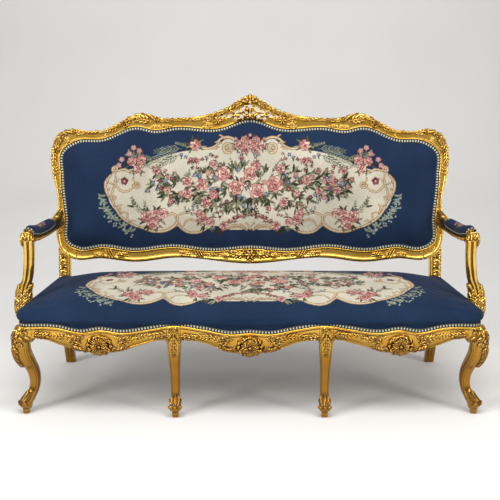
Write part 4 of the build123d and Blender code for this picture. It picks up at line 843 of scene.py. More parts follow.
# Where the timbers meet, as places on the outer edge and on the sight edge
JOINTS = [
    (meeting(OUTER, axis, value, outer), meeting(SIGHT, axis, value, sight))
    for axis, value, outer, sight in (
        (0, CREST_JOINT, 0, 0), (1, SHOULDER_JOINT, 200, 100), (0, BOTTOM_JOINT, 250, 140)
    )
]
print("outer edge:", round(length_of(OUTER)), "mm, sight edge:", round(length_of(SIGHT)), "mm")
print("joints:", JOINTS, "of", len(OUTER), "and", len(SIGHT))


def leaned(x, up, out):
    """Points of the leaning plane in the settee's frame, out from its face, all in millimetres."""
    x, up, out = np.broadcast_arrays(x, up, out)
    y = BACK_START[0] + up * math.sin(LEAN) - out * math.cos(LEAN) + BEHIND
    z = BACK_START[1] + up * math.cos(LEAN) + out * math.sin(LEAN)
    return np.stack([x, y, z], -1)


# %% [markdown]
# ## The carved back frame
#
# The crest rail, two shoulders, two stiles and the bottom rail are separate pieces of wood, tenoned end
# to end and then carved as one run. Each is a board whose front is a grid between the sight edge and the
# outer edge. The mouldings come from the distance to either edge, and the carving from strokes.


# %% Back frame
def matched_edges(first, last, by_x, step=2.4):
    """Equal numbers of points on both edges between two joints, right half."""
    inner = SIGHT[first[1]:last[1] + 1]
    outer = OUTER[first[0]:last[0] + 1]
    count = int(max(length_of(inner), length_of(outer)) / step) + 1
    if not by_x:
        return even(inner, count), even(outer, count)
    x = np.linspace(inner[0, 0], inner[-1, 0], count)
    edges = []
    for edge in (inner, outer):
        order = np.argsort(edge[:, 0])
        edges.append(np.stack([x, np.interp(x, edge[order, 0], edge[order, 1])], 1))
    return edges


def bump_across(distance, width, rise):
    """A half-round moulding of a width that starts at an edge."""
    place = np.clip((distance - width / 2) / (width / 2), -1, 1)
    return rise * np.sqrt(1 - place**2)


def back_moulding(inward, outward):
    """The frame's section: a bead at the sight edge, a hollow, and a broad roll at the outer edge."""
    whole = inward + outward
    roll = np.minimum(22.0, whole * 0.42)
    hollow = 4.0 - 2.2 * np.sin(np.pi * np.clip(inward / np.maximum(whole, 1), 0, 1))
    height = hollow + bump_across(outward, roll, 8.0)
    height = np.maximum(height, 4.0 + bump_across(inward, 8.0, 5.5))
    # The grooves beside the roll and the bead are marked as hollow, so the gilding paints shade and brown toning in
    # them
    groove = np.exp(-(((outward - roll) / 2.0) ** 2)) + np.exp(-(((inward - 8.5) / 1.6) ** 2))
    return height, groove * 0.55


def with_tips(edge, tips):
    """An outer edge with small leaf tips that stand out of it."""
    run = walked(edge)
    along = np.gradient(edge, axis=0)
    out = np.stack([-along[:, 1], along[:, 0]], 1) / np.linalg.norm(along, axis=1)[:, None]
    middle = np.array([0.0, 372.0])
    out *= np.sign(np.sum(out * (edge - middle), axis=1))[:, None]
    grown = np.zeros(len(edge))
    for x, up, reach in tips:
        place = run[np.argmin(np.hypot(edge[:, 0] - x, edge[:, 1] - up))]
        grown = np.maximum(grown, reach * np.exp(-(((run - place) / 6.5) ** 2)))
    return edge + out * grown[:, None]


RAIL_DEPTH = 24.0


def carved_rail(inner, outer, columns, strokes, holes=(), tips=()):
    """A board of the back frame with its mouldings, carving and pierced holes."""
    outer = with_tips(outer, tips)
    share = np.linspace(0, 1, columns)[None, :, None]
    flat = inner[:, None] * (1 - share) + outer[:, None] * share
    width = np.linalg.norm(outer - inner, axis=1)[:, None]
    inward, outward = width * share[..., 0], width * (1 - share[..., 0])
    base, groove = back_moulding(inward, outward)
    relief, hollow = carve(flat[..., 0], flat[..., 1], strokes)
    soft = np.clip(np.minimum(inward, outward) / 2.0, 0, 1)
    height = (np.maximum(base, 3.0 + relief) + relief * 0.35) * soft
    keep = np.ones((len(inner) - 1, columns - 1), bool)
    middle = (flat[1:, 1:] + flat[:-1, :-1]) / 2
    for x, up, long, short, turn in holes:
        c, s = toward(turn)
        dx, dy = middle[..., 0] - x, middle[..., 1] - up
        keep &= ((dx * c + dy * s) / long) ** 2 + ((dy * c - dx * s) / short) ** 2 > 1
    front = leaned(flat[..., 0], flat[..., 1], height)
    back = leaned(flat[..., 0], flat[..., 1], -RAIL_DEPTH)
    points, faces = board(front, back, keep)
    shade = np.maximum(hollow, groove)
    return points, faces, np.concatenate([shade.ravel(), np.full(shade.size, 0.35)])


def both_halves(edge):
    """A right half, from its middle outwards, with the left half before it."""
    return np.vstack([(edge[1:] * (-1, 1))[::-1], edge])


print("rail makers ready")

# %% [markdown]
# ### The crest and the shoulders
#
# Each line below is one leaf, scroll or flower, at its place in the leaning plane. Only the right half
# is written down, and the left is its mirror image. The peak is pierced, so its holes are cut out of
# the board, and small leaf tips stand out of its upper edge.

# %% Crest and shoulders
# Leaves and scrolls of the crest, right half: the shell, the slope, the rosette and the lobe
CREST_CARVING = (
    scroll((10, 636), 66, 84, 1.2, 8.5, 12, -1)
    + scroll((66, 648), 148, 74, 1.2, 7.5, 11, 1)
    + c_scroll((24, 706), (80, 660), 0.36, 6.5, 11, 0.9)
    + leaf((16, 722), -24, 58, 19, 9, -22)
    + leaf((62, 700), -26, 50, 18, 9, 14)
    + leaf((104, 676), -24, 48, 17, 8, 14)
    + leaf((146, 660), -10, 46, 15, 7, 12)
    + leaf((104, 636), 10, 44, 16, 7, -26)
    + flower((137, 629), 17, 10, 6)
    + leaf((160, 634), 10, 50, 13, 7, 6)
    + flower((236, 634), 10, 8, 5)
    + leaf((250, 640), 14, 54, 16, 8, -10)
    + leaf((298, 650), 30, 26, 13, 7, 0, 3)
    + leaf((366, 634), 176, 48, 16, 8, -12)
    + leaf((346, 622), 150, 26, 11, 6, 0, 3)
    + c_scroll((402, 632), (534, 622), 0.32, 8.0, 11, 0.55)
    + leaf((424, 626), 22, 62, 20, 9, -30)
    + leaf((500, 634), -16, 62, 17, 8, -16)
    + flower((470, 636), 12, 10, 5)
    + leaf((560, 606), -26, 50, 15, 7, 6)
    + leaf((178, 607), 70, 20, 13, 7, 0, 3)
    + leaf((196, 600), 160, 32, 13, 6, 10)
    + leaf((330, 602), 6, 40, 9, 5, 4) + leaf((420, 600), 174, 40, 9, 5, -4)
)
PEAK_CARVING = (
    fan((0, 704), 90, 160, 34, 6.5, 11, 5) + scroll((0, 672), 90, 44, 1.1, 7, 10, 1) + flower((0, 640), 19, 12, 6)
    + leaf((0, 664), -90, 30, 18, 9, 0, 3)
)
PIERCED = [
    (0, 690, 10, 9, 0), (29, 680, 13, 8, -48), (54, 668, 12, 7, -30), (86, 651, 14, 6.5, -24),
    (36, 648, 11, 8, 60), (60, 640, 9, 6, 20), (114, 648, 10, 4.5, -20), (15, 664, 7, 6, 0),
]
PIERCED += [(-x, up, long, short, -turn) for x, up, long, short, turn in PIERCED[1:]]

CREST_TIPS = [(0, 738, 5), (22, 730, 4), (44, 716, 4), (64, 708, 4), (84, 694, 4), (104, 680, 4), (124, 673, 3.5),
              (146, 665, 3.5), (168, 658, 3), (288, 648, 3), (306, 650, 5), (326, 648, 4), (350, 642, 3),
              (424, 654, 4), (452, 661, 4), (482, 657, 4), (512, 640, 4), (546, 627, 3), (574, 614, 3)]
CREST_TIPS += [(-x, up, reach) for x, up, reach in CREST_TIPS[1:]]
edges = [both_halves(edge) for edge in matched_edges((0, 0), JOINTS[0], True)]
crest = carved_rail(*edges, 42, mirrored(CREST_CARVING) + PEAK_CARVING, PIERCED, CREST_TIPS)
gilded("carved_crest", crest, "crest_rail", "crest_shell", "crest_rosettes")

SHOULDER_CARVING = (
    leaf((634, 592), -4, 58, 17, 8, 4)
    + leaf((752, 580), 176, 52, 16, 8, 10)
    + c_scroll((744, 578), (824, 512), 0.36, 8.0, 11, 0.55)
    + leaf((772, 584), -30, 62, 20, 10, -44)
    + leaf((812, 548), -70, 52, 17, 8, -20)
    + leaf((828, 500), -86, 62, 15, 7, -6)
    + leaf((800, 566), 210, 44, 14, 7, 20)
    + leaf((824, 400), 92, 54, 12, 6, -4)
    + flower((786, 562), 11, 9, 5)
)
SHOULDER_TIPS = [(650, 587, 3), (752, 596, 4), (780, 594, 4), (806, 576, 5), (826, 550, 4), (840, 516, 4),
                 (844, 470, 3)]
edges = matched_edges(JOINTS[0], JOINTS[1], False)
gilded_pair("carved_shoulder", carved_rail(*edges, 26, SHOULDER_CARVING, (), SHOULDER_TIPS), "back_shoulder")
print("crest:", len(crest[0]), "points")

# %% [markdown]
# ### The bottom rail
#
# It has a rosette at its middle, and a ribbon wound round it in two places on each side, which is
# three short slanting strokes.

# %% Bottom rail
RIBBON = [
    (bent((x + step - 8, up - 18), 62, 38, 0, 4), [4.2] * 4, 9.0)
    for x, up in ((221, 74), (595, 68)) for step in (-11, 0, 11)
]
RAIL_CARVING = (
    mirrored(RIBBON + leaf((26, 60), 4, 60, 19, 9, 6) + leaf((84, 58), 2, 40, 13, 7, 4)
             + leaf((250, 66), 2, 44, 15, 7, 4) + leaf((194, 66), 178, 44, 15, 7, -4)
             + leaf((566, 62), 178, 44, 14, 7, 4) + leaf((620, 60), 0, 40, 13, 7, 8)
             + c_scroll((24, 84), (66, 70), -0.3, 4.5, 8, 0.8))
    + flower((0, 62), 23, 12, 6) + leaf((0, 82), 90, 22, 17, 9, 0, 3) + leaf((0, 44), -90, 18, 15, 9, 0, 2)
)
edges = [both_halves(edge[::-1]) for edge in matched_edges(JOINTS[2], (len(OUTER) - 1, len(SIGHT) - 1), True)]
bottom_rail = carved_rail(*edges, 22, RAIL_CARVING)
gilded("carved_bottom_rail", bottom_rail, "back_bottom_rail", "bottom_rail_rosette")
print("bottom rail:", len(bottom_rail[0]), "points")

# %% [markdown]
# ## The stiles
#
# A stile is one timber: a leg below the seat, then the side of the back frame. Its upper part is a
# board of the frame. Below the frame's corner it is a squared post that kicks back to the floor, so
# that part is a tube whose sections are sawn to the same lines as the CAD's.


# %% Stiles
STILE_WAIST = 368.0  # where the post ends and the lean of the back begins


def squircle(count, power, prime=0.0):
    """Angles round from a first one, and a rounded square of half width 1 at them."""
    turn = 2 * math.pi * np.arange(count) / count + math.radians(prime)
    c, s = np.cos(turn), np.sin(turn)
    reach = (np.abs(c) ** power + np.abs(s) ** power) ** (-1 / power)
    return turn, np.stack([c * reach, s * reach], 1)


def stile_leg(columns=40):
    """The squared lower part, with its kick to the back."""
    heights = np.concatenate([np.linspace(0, 360, 121), np.linspace(362, 532, 74)])
    down = np.clip(1 - heights / STILE_WAIST, 0, 1)
    kick = from_table([(0, 0), (0.30, -0.03), (0.62, 0.24), (0.86, 0.68), (1.0, 1.0)], 1, down) * 64
    front = 203.6 + kick + np.clip(heights - STILE_WAIST, 0, None) * math.tan(LEAN)
    depth = np.where(heights > STILE_WAIST, RAIL_DEPTH / math.cos(LEAN) + 8, 42.0 - 8.0 * down)
    depth = np.convolve(np.pad(depth, 6, mode="edge"), np.ones(13) / 13, "valid")
    outer = np.full(len(heights), 818.0)
    inner = np.where(heights > 296, 768.0, 778.0 - 10.0 * heights / 296)
    _, unit = squircle(columns, 7.0)
    sections = np.empty((len(heights), columns, 3))
    sections[..., 0] = ((inner + outer) / 2)[:, None] + unit[:, 0] * ((outer - inner) / 2)[:, None]
    sections[..., 1] = (front + depth / 2)[:, None] + unit[:, 1] * (depth / 2)[:, None] + BEHIND
    sections[..., 2] = heights[:, None]
    carving = [([(770, 366), (770, 520)], [2.4, 2.4], 4.0), ([(815.5, 366), (815.5, 520)], [2.4, 2.4], 4.0),
               ([(789, 366), (789, 500)], [2.0, 2.0], 3.0)]
    for k, place in enumerate(range(528, 395, -22)):
        carving += leaf((803, place), -90 + (12 if k % 2 else -12), 34, 15, 8, 0, 3)
    carving += [([(793, 40), (793, 330)], [7.0, 9.0], 2.5)]
    face = unit[:, 1] < -0.8
    relief, hollow = carve(sections[:, face, 0], sections[:, face, 2], carving)
    shade = np.zeros((len(heights), columns))
    shade[:, face] = hollow
    sections[:, face, 1] -= relief
    return tube(sections, shade)


def ball(middle, radius, squash=(1, 1, 1), rows=12, columns=18):
    """A small turned knob."""
    turn = np.linspace(0.02, math.pi - 0.02, rows)[:, None]
    about = np.linspace(0, 2 * math.pi, columns, endpoint=False)[None]
    unit = np.stack([np.sin(turn) * np.cos(about), np.sin(turn) * np.sin(about), np.cos(turn) + 0 * about], -1)
    return tube(unit * radius * np.array(squash) + np.array(middle))


STILE_CARVING = (
    leaf((842, 330), -90, 66, 9, 5, 4) + leaf((800, 300), 90, 60, 11, 5, 0)
    + leaf((806, 208), 92, 46, 12, 6, 0) + leaf((806, 200), -88, 46, 12, 6, 0)
    + [([(788, 96), (770, 60)], [3.0, 3.0], 5)]
)
edges = matched_edges(JOINTS[1], JOINTS[2], False)
heel = ball((818, 203.6 + 64 + 16 + BEHIND, 52), 9, (0.9, 1.5, 1))
stile = joined([carved_rail(*edges, 24, STILE_CARVING), stile_leg(), heel])
gilded_pair("carved_stile", stile, "rear_stile")
print("stile:", len(stile[0]), "points")

# %% [markdown]
# ## The seat's plan
#
# The front bows out, the corners are rounded and the sides draw in to the stiles. The rails, the cover
# and the braid all follow this one closed line, each at its own distance from it.


# %% Seat plan
SEAT_HALF, SEAT_FRONT, BOW, TAPER = 866.0, 331.0, 38.0, 54.0
BOW_RADIUS = SEAT_HALF**2 / (2 * BOW) + BOW / 2


def bow_y(x):
    return BOW_RADIUS - SEAT_FRONT - np.sqrt(BOW_RADIUS**2 - np.asarray(x, float) ** 2)


def rounded_corner(before, corner, after, radius, count=12):
    """An arc between two straight runs that meet at a corner."""
    before, corner, after = (np.asarray(p, float) for p in (before, corner, after))
    u, v = (before - corner) / np.linalg.norm(before - corner), (after - corner) / np.linalg.norm(after - corner)
    half = math.acos(np.clip(u @ v, -1, 1)) / 2
    middle = corner + (u + v) / np.linalg.norm(u + v) * radius / math.sin(half)
    reach = radius / math.tan(half)
    first, last = corner + u * reach - middle, corner + v * reach - middle
    share = np.linspace(0, 1, count)[:, None]
    angle = math.acos(np.clip(first @ last / radius**2, -1, 1))
    return middle + (first * np.sin((1 - share) * angle) + last * np.sin(share * angle)) / math.sin(angle)


def seat_plan():
    """The plan from the middle of the back, round the right side, the front and the left side."""
    front = (SEAT_HALF, BOW - SEAT_FRONT)
    rear = (SEAT_HALF - TAPER, SEAT_BACK)
    bow_point = (SEAT_HALF - 120, float(bow_y(SEAT_HALF - 120)))
    right = np.vstack([
        [(0, SEAT_BACK)], rounded_corner((0, SEAT_BACK), rear, front, 38),
        rounded_corner(rear, front, bow_point, 44),
    ])
    x = np.linspace(right[-1, 0] - 5, 0, 80)
    right = np.vstack([right, np.stack([x, bow_y(x)], 1)])
    return np.vstack([right, (right[1:-1] * (-1, 1))[::-1], right[:1]])


def outward(path):
    """Normals of a closed line, whose last point isn't repeated, that point out of it."""
    along = np.roll(path, -1, 0) - np.roll(path, 1, 0)
    return np.stack([-along[:, 1], along[:, 0]], 1) / np.linalg.norm(along, axis=1)[:, None]


PLAN = seat_plan()
print("seat's edge:", round(length_of(PLAN)), "mm round")

# %% [markdown]
# ## The carved apron
#
# The front rail's lower edge swings down under each shell. Its face is a board that is wrapped on the
# plan: a roll at the top beside the braid, a shallow hollow, and a bead along the lower edge. The
# pieces end where the leg heads begin, and each leg head continues the same mouldings.


# %% Apron
SHOW_TOP_SHARES = [
    (0, 0.22), (0.080, 0.26), (0.200, 0.11), (0.325, 0.0), (0.420, 0.11), (0.557, 0.24), (0.635, 0.165),
    (0.725, 0.255), (0.820, 0.125), (1.02, 0.14),
]
APRON_EDGE_SHARES = [
    (0, 0.87), (0.062, 0.86), (0.090, 0.83), (0.190, 0.56), (0.260, 0.455), (0.370, 0.455), (0.470, 0.64),
    (0.570, 0.86), (0.645, 0.90), (0.720, 0.86), (0.800, 0.70), (0.880, 0.51), (1.02, 0.50),
]


def front_line(shares):
    """Height along the front as a function of how far across."""
    right = np.array([(x * SEAT_HALF, 364 - y * 123) for x, y in shares])
    whole = np.vstack([(right[1:] * (-1, 1))[::-1], right])
    line = smooth_path(whole)
    return lambda x: np.interp(x, line[:, 0], line[:, 1])


show_top, apron_edge = front_line(SHOW_TOP_SHARES), front_line(APRON_EDGE_SHARES)


def apron_moulding(up, down):
    """The apron's section from the distances to its lower and upper edges."""
    height = 1.0 + 2.5 * np.cos(np.pi * np.clip(up / np.maximum(up + down, 1), 0, 1)) ** 2
    height = np.maximum(height, bump_across(down, 11.0, 6.0))
    height = np.maximum(height, bump_across(up, 8.5, 5.5))
    # The grooves beside the bead and the roll are marked as hollow, so the gilding paints shade and brown toning in
    # them
    groove = np.exp(-(((down - 12) / 2.0) ** 2)) + np.exp(-(((up - 9.5) / 2.0) ** 2))
    return height, groove * 0.6


def wrapped_rail(places, normals, chart, top, low, columns, strokes, thickness=32.0, proud=4.0):
    """A board that stands on a plan line, with mouldings and carving on its outer face."""
    share = np.linspace(0, 1, columns)[None]
    z = low[:, None] * (1 - share) + top[:, None] * share
    width = (top - low)[:, None]
    base, groove = apron_moulding(width * share, width * (1 - share))
    relief, hollow = carve(np.broadcast_to(chart[:, None], z.shape), z, strokes)
    soft = np.clip(np.minimum(width * share, width * (1 - share)) / 1.5, 0, 1)
    out = (np.maximum(base, 1.5 + relief) + relief * 0.3) * soft + proud
    front, back = np.empty((2, *z.shape, 3))
    front[..., :2] = places[:, None] + normals[:, None] * out[..., None]
    back[..., :2] = places[:, None] - normals[:, None] * thickness
    for side in (front, back):
        side[..., 1] += BEHIND
        side[..., 2] = z
    points, faces = board(front, back)
    return points, faces, np.concatenate([np.maximum(hollow, groove).ravel(), np.full(z.size, 0.3)])


def front_rail(first, last, strokes, columns=34, low=None, step=2.2):
    """A stretch of the front between two places across."""
    x = np.linspace(first, last, int((last - first) / step) + 1)
    places = np.stack([x, bow_y(x)], 1)
    normals = np.stack([x / BOW_RADIUS, -np.sqrt(1 - (x / BOW_RADIUS) ** 2)], 1)
    bottom = apron_edge(x) if low is None else low(x)
    return wrapped_rail(places, normals, x, show_top(x), bottom, columns, strokes)


APRON_CENTRE = mirrored(
    c_scroll((62, 278), (104, 308), -0.32, 6.5, 10, 0.8) + leaf((76, 296), 20, 66, 18, 9, 10)
    + leaf((70, 268), 10, 50, 13, 8, 26) + leaf((60, 316), -6, 44, 13, 7, 14)
    + leaf((132, 322), -4, 56, 14, 7, 12) + leaf((252, 326), 196, 58, 17, 9, -22)
    + leaf((246, 316), 160, 40, 12, 7, 16)
)
APRON_SIDE = (
    c_scroll((500, 274), (456, 304), 0.32, 6.5, 10, 0.8) + leaf((488, 294), 160, 62, 18, 9, -8)
    + leaf((494, 266), 168, 48, 13, 8, -22) + leaf((500, 316), 186, 44, 13, 7, -12)
    + leaf((430, 316), 172, 50, 13, 7, -8) + leaf((310, 332), -16, 60, 17, 9, 22)
    + leaf((316, 318), 16, 40, 12, 7, -16)
    + c_scroll((614, 270), (660, 300), -0.32, 6.5, 10, 0.8) + leaf((626, 292), 18, 62, 18, 9, 8)
    + leaf((620, 264), 12, 48, 13, 8, 22) + leaf((614, 316), -8, 44, 13, 7, 12)
    + leaf((684, 312), 4, 50, 13, 7, 8) + leaf((806, 322), 190, 62, 17, 9, -18)
    + leaf((800, 312), 168, 40, 12, 7, 14)
)
apron = front_rail(-256.0, 256.0, APRON_CENTRE)
gilded("carved_apron_centre", apron, "front_rail_centre")
gilded_pair("carved_apron", front_rail(306.0, 812.0, APRON_SIDE), "front_rail")


def shell_medallion(x, z, half_width, half_height):
    """An oval boss on the apron: curled petals round a ring of small leaves and three beads."""
    rings, turns = 34, 120
    share = np.linspace(0.0, 1, rings)[:, None]
    turn = np.linspace(0, 2 * math.pi, turns, endpoint=False)[None]
    lobed = 1 + 0.05 * np.cos(12 * turn)
    a = share * half_width * np.cos(turn) * lobed
    b = share * half_height * np.sin(turn) * lobed
    strokes = [([(0, 0)], [half_width * 0.55], 3.0)]
    for way in range(-150, 211, 30):
        spot = toward(way) * (half_width * 0.80, half_height * 0.80)
        strokes.append((bent(spot, way + 50, 15, 70, 4), [6.5, 7.5, 7.0, 4.0], 10))
    for way in range(-170, 191, 45):
        strokes += leaf(7 * toward(way) - (0, 4), way, half_height * 0.50, 13, 11, 20, 3)
    strokes += c_scroll((-24, half_height * 0.52), (24, half_height * 0.52), 0.36, 5.5, 12, 0.8)
    strokes += [([(0, -4)], [8.0], 15), ([(-12, -18)], [5.0], 11), ([(12, -18)], [5.0], 11)]
    relief, hollow = carve(a, b, strokes)
    dome = 5.0 * np.sqrt(np.clip(1 - share**2, 0, 1)) + 0 * turn
    # The sunk ring is also marked as hollow, so the gilding paints shade and brown toning in it
    sunk = np.exp(-(((share - 0.62) / 0.10) ** 2)) * (relief < 4)
    dome, hollow = dome - 3.0 * sunk, np.maximum(hollow, sunk)
    out = 5.0 + dome + relief * np.clip((1 - share) * 9, 0, 1)
    across = x + a
    slope = np.arcsin(across / BOW_RADIUS)
    sections = np.stack([
        across + np.sin(slope) * out, bow_y(across) - np.cos(slope) * out + BEHIND, z + b
    ], -1)
    sections[-1, :, 1] = bow_y(across[-1]) - 3.0 + BEHIND
    return tube(sections, hollow)


gilded("carved_shell_centre", shell_medallion(0.0, 285.0, 52.0, 42.0), "apron_shell_centre")
gilded_pair("carved_shell", shell_medallion(557.0, 285.0, 52.0, 42.0), "apron_shell")
print("apron:", len(apron[0]), "points")

# %% [markdown]
# ## The heads of the legs and the side rails
#
# A leg's head stands between two rails and carries the same face. At the corner the face turns, so the
# board follows the plan round the corner and its chart is the distance walked from the corner's middle.


# %% Heads and side rails
ROUND = PLAN[:-1]
NORMALS = outward(ROUND)
HALF_ROUND = ROUND[: len(ROUND) // 2 + 1]
HALF_RUN = walked(HALF_ROUND)


def stretch(first, last, step=2.2):
    """The plan's right half between two distances along it."""
    share = np.append(np.arange(first, last, step), last)
    places = read_off(share, HALF_RUN, HALF_ROUND)
    normals = read_off(share, HALF_RUN, NORMALS[: len(HALF_ROUND)])
    return share, places, normals / np.linalg.norm(normals, axis=1)[:, None]


def run_at(axis, value):
    """How far along the right half a place lies, by its x on the front or its y on the side rail."""
    x, y = HALF_ROUND.T
    rows = np.nonzero((y < 150) & (x > 600) if axis == 0 else x > 815)[0]
    order = rows[np.argsort(HALF_ROUND[rows, axis])]
    return float(np.interp(value, HALF_ROUND[order, axis], HALF_RUN[order]))


HEAD_LOW = 288.0
head_back = run_at(1, max(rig.box("side_rail_right")[0][1] / MM - BEHIND, -250.0))
share, places, normals = stretch(head_back, run_at(0, 812.0))
CORNER_RUN = float(share[np.argmax(places[:, 0] - places[:, 1])])
KNEE_DROP = (
    leaf((0, 302), -90, 118, 20, 10, 0, 5) + flower((0, 314), 15, 12, 6)
    + leaf((-4, 336), -116, 62, 20, 9, 18, 3) + leaf((4, 336), -64, 62, 20, 9, -18, 3)
    + c_scroll((-22, 336), (-24, 296), 0.30, 4.5, 9, 0.9) + c_scroll((22, 336), (24, 296), -0.30, 4.5, 9, 0.9)
    + c_scroll((-9, 280), (-12, 248), 0.34, 3.6, 8, 0.8) + c_scroll((9, 280), (12, 248), -0.34, 3.6, 8, 0.8)
)
KNEE_LEAF = (
    leaf((0, 322), -90, 96, 13, 9, 0, 4) + leaf((-6, 340), -106, 50, 12, 8, -14, 2)
    + leaf((6, 340), -74, 50, 12, 8, 14, 2) + c_scroll((-14, 340), (-24, 308), 0.30, 4.2, 8, 0.8)
    + c_scroll((14, 340), (24, 308), -0.30, 4.2, 8, 0.8)
)
MIDDLE_LEG_X = 281.0


def moved(strokes, x, z):
    """The same strokes in another place."""
    return [(np.asarray(path, float) + (x, z), widths, height) for path, widths, height in strokes]


corner_head = wrapped_rail(
    places, normals, CORNER_RUN - share, show_top(places[:, 0]), np.full(len(share), HEAD_LOW), 26, KNEE_DROP
)
middle_head = front_rail(256.0, 306.0, moved(KNEE_LEAF, MIDDLE_LEG_X, 8), 26, lambda x: 0 * x + HEAD_LOW)
share, places, normals = stretch(run_at(1, 180.0), head_back)
SIDE_CARVING = leaf((share[-1] - 10, 322), 180, 60, 11, 5, 0) + leaf((share[0] + 60, 322), 0, 60, 11, 5, 0)
side_rail = wrapped_rail(
    places, normals, share, np.full(len(share), 344.0), np.full(len(share), 296.0), 20, SIDE_CARVING
)
gilded_pair("carved_side_rail", side_rail, "side_rail")
print("side rail:", len(side_rail[0]), "points; corner at", round(CORNER_RUN), "mm")

# %% [markdown]
# ## Cabriole legs
#
# A cabriole leg swells at the knee, draws in to the ankle and turns out at the toe. Each one is a tube
# through the same sections as the CAD's, which are given as shares of its height, swing and width. The
# chart for the carving is height, and the distance round from the line that faces the room.


# %% Legs
def carved_post(z, middles, halves, prime, strokes, columns=100, power=4.0):
    """A tube with level sections, carved: z, middle and half sizes of each section, in millimetres."""
    _, unit = squircle(columns, power, prime)
    flat = unit[None] * halves[:, None, :]
    steps = np.linalg.norm(np.roll(flat, -1, 1) - flat, axis=2)
    around = np.concatenate([np.zeros((len(z), 1)), np.cumsum(steps, 1)], 1)
    girth = around[:, -1:]
    chart = (around[:, :-1] + girth / 2) % girth - girth / 2
    relief, hollow = carve(chart, np.broadcast_to(z[:, None], chart.shape), strokes)
    normal = np.abs(unit) ** (power - 1) * np.sign(unit)
    normal /= np.linalg.norm(normal, axis=1)[:, None]
    sections = np.empty((len(z), columns, 3))
    sections[..., :2] = middles[:, None, :] + flat + normal[None] * relief[..., None]
    sections[..., 1] += BEHIND
    sections[..., 2] = z[:, None]
    return tube(sections, hollow)


LEG_TOP = 320.0
CORNER_LEG_SHARES = [
    (1.09, 0.34, 0.70), (1.04, 0.20, 0.82), (1.0, 0.09, 0.88), (0.86, 0.0, 0.92), (0.78, 0.02, 0.97),
    (0.71, 0.16, 1.0), (0.635, 0.40, 0.94), (0.534, 0.80, 0.76), (0.45, 0.97, 0.67), (0.36, 1.0, 0.62),
    (0.253, 0.78, 0.62), (0.175, 0.36, 0.72), (0.109, 0.04, 0.74), (0.072, 0.12, 0.58),
]
MIDDLE_LEG_SHARES = [
    (1.12, 0.40, 0.80), (1.06, 0.22, 0.92), (1.0, 0.10, 1.0), (0.86, 0.0, 1.0), (0.76, 0.12, 0.90),
    (0.66, 0.38, 0.82), (0.52, 0.80, 0.72), (0.36, 1.0, 0.68), (0.253, 0.80, 0.68), (0.175, 0.36, 0.76),
    (0.109, 0.0, 0.82), (0.072, 0.08, 0.62),
]


def leg_rows(shares, knee, swing, width, step=2.0):
    """Heights, middles and half sizes of a leg's sections."""
    rows = np.array(shares[::-1])
    z = np.arange(rows[0, 0] * LEG_TOP, rows[-1, 0] * LEG_TOP, step)
    out = smooth_values(rows[:, 0] * LEG_TOP, rows[:, 1] * 40, z) / 40
    side = smooth_values(rows[:, 0] * LEG_TOP, rows[:, 2] * 60, z) / 60 * width / 2
    middles = np.asarray(knee)[None] + out[:, None] * np.asarray(swing)[None]
    return z, middles, np.stack([side, side], 1)


def leg_carving(z, halves, corner):
    """Leaves on the knee, a ridge along each edge and a shell of ribs on the toe."""
    strokes = list(KNEE_DROP) if corner else moved(KNEE_LEAF, 0, 8)
    side = halves[:, 0]
    keep = (z > 36) & (z < 292)
    for hand in (-1, 1):
        run = side * (1.45 if corner else 0.90) * hand
        edge = np.stack([run, z], 1)[keep][::6]
        strokes.append((edge, np.full(len(edge), 3.5), 2.6))
    for way in (-52, -26, 0, 26, 52):
        rib = bent((way * 0.10, 44), 90 - way, 44 - abs(way) * 0.30, way * 0.8, 5)
        strokes.append((rib, [3.0, 5.0, 6.0, 6.5, 3.0], 8))
    return strokes + [([(-14, 46)], [6.0], 9), ([(14, 46)], [6.0], 9), ([(0, 44)], [6.5], 9)]


def volute_bar(middle, across, length, radius):
    """The rolled end of the toe's leaf: a bar with a ball at each end."""
    along = np.array([0.0, 0.0, 1.0])
    out = np.cross(across, along)
    half = [(0.0, 0.78), (0.25, 0.84), (0.5, 0.98), (0.66, 1.0), (0.82, 0.88), (0.94, 0.62), (1.0, 0.25)]
    turn = np.linspace(0, 2 * math.pi, 26, endpoint=False)
    ribs = 1 + 0.05 * np.cos(turn * 7)
    round_about = np.cos(turn)[:, None] * along + np.sin(turn)[:, None] * out
    sections = [
        np.asarray(middle) + across * (place * length / 2) + round_about * (size * radius * ribs)[:, None]
        for place, size in [(-place, size) for place, size in half[:0:-1]] + half
    ]
    points, faces, _ = tube(np.array(sections))
    return points, faces, np.full(len(points), 0.12)


def foot_block(x, y):
    """The small tapered block that the leg stands on."""
    z = np.array([0.0, 0.6, 8.0, 16.0, 27.0])
    half = np.array([10.6, 11.0, 11.6, 12.4, 13.4])
    return carved_post(z, np.tile([x, y], (5, 1)), np.stack([half, half], 1), 0, [], 32, 6.0)


def front_leg(name, shares, knee, swing, width, prime, head, corner):
    """A right-hand leg with its head, foot block and rolled toe, and its mirror image."""
    z, middles, halves = leg_rows(shares, knee, swing, width)
    carving = leg_carving(z, halves, corner)
    toe = np.array([*toward(prime), 0])
    foot = middles[np.argmin(np.abs(z - 35))]
    across = np.array([-toe[1], toe[0], 0])
    middle = np.array([*(foot + toe[:2] * 16.0), 38.0]) + (0, BEHIND, 0)
    lots = [carved_post(z, middles, halves, prime, carving, power=2.8 if corner else 2.3), head,
            foot_block(*foot), volute_bar(middle, across, 42.0, 9.5)]
    for hand in (-1, 1):
        lots.append(ball(middle + across * hand * 21 + (0, 0, 5), 6.5, rows=8, columns=12))
    return gilded_pair("carved_" + name, joined(lots), name)


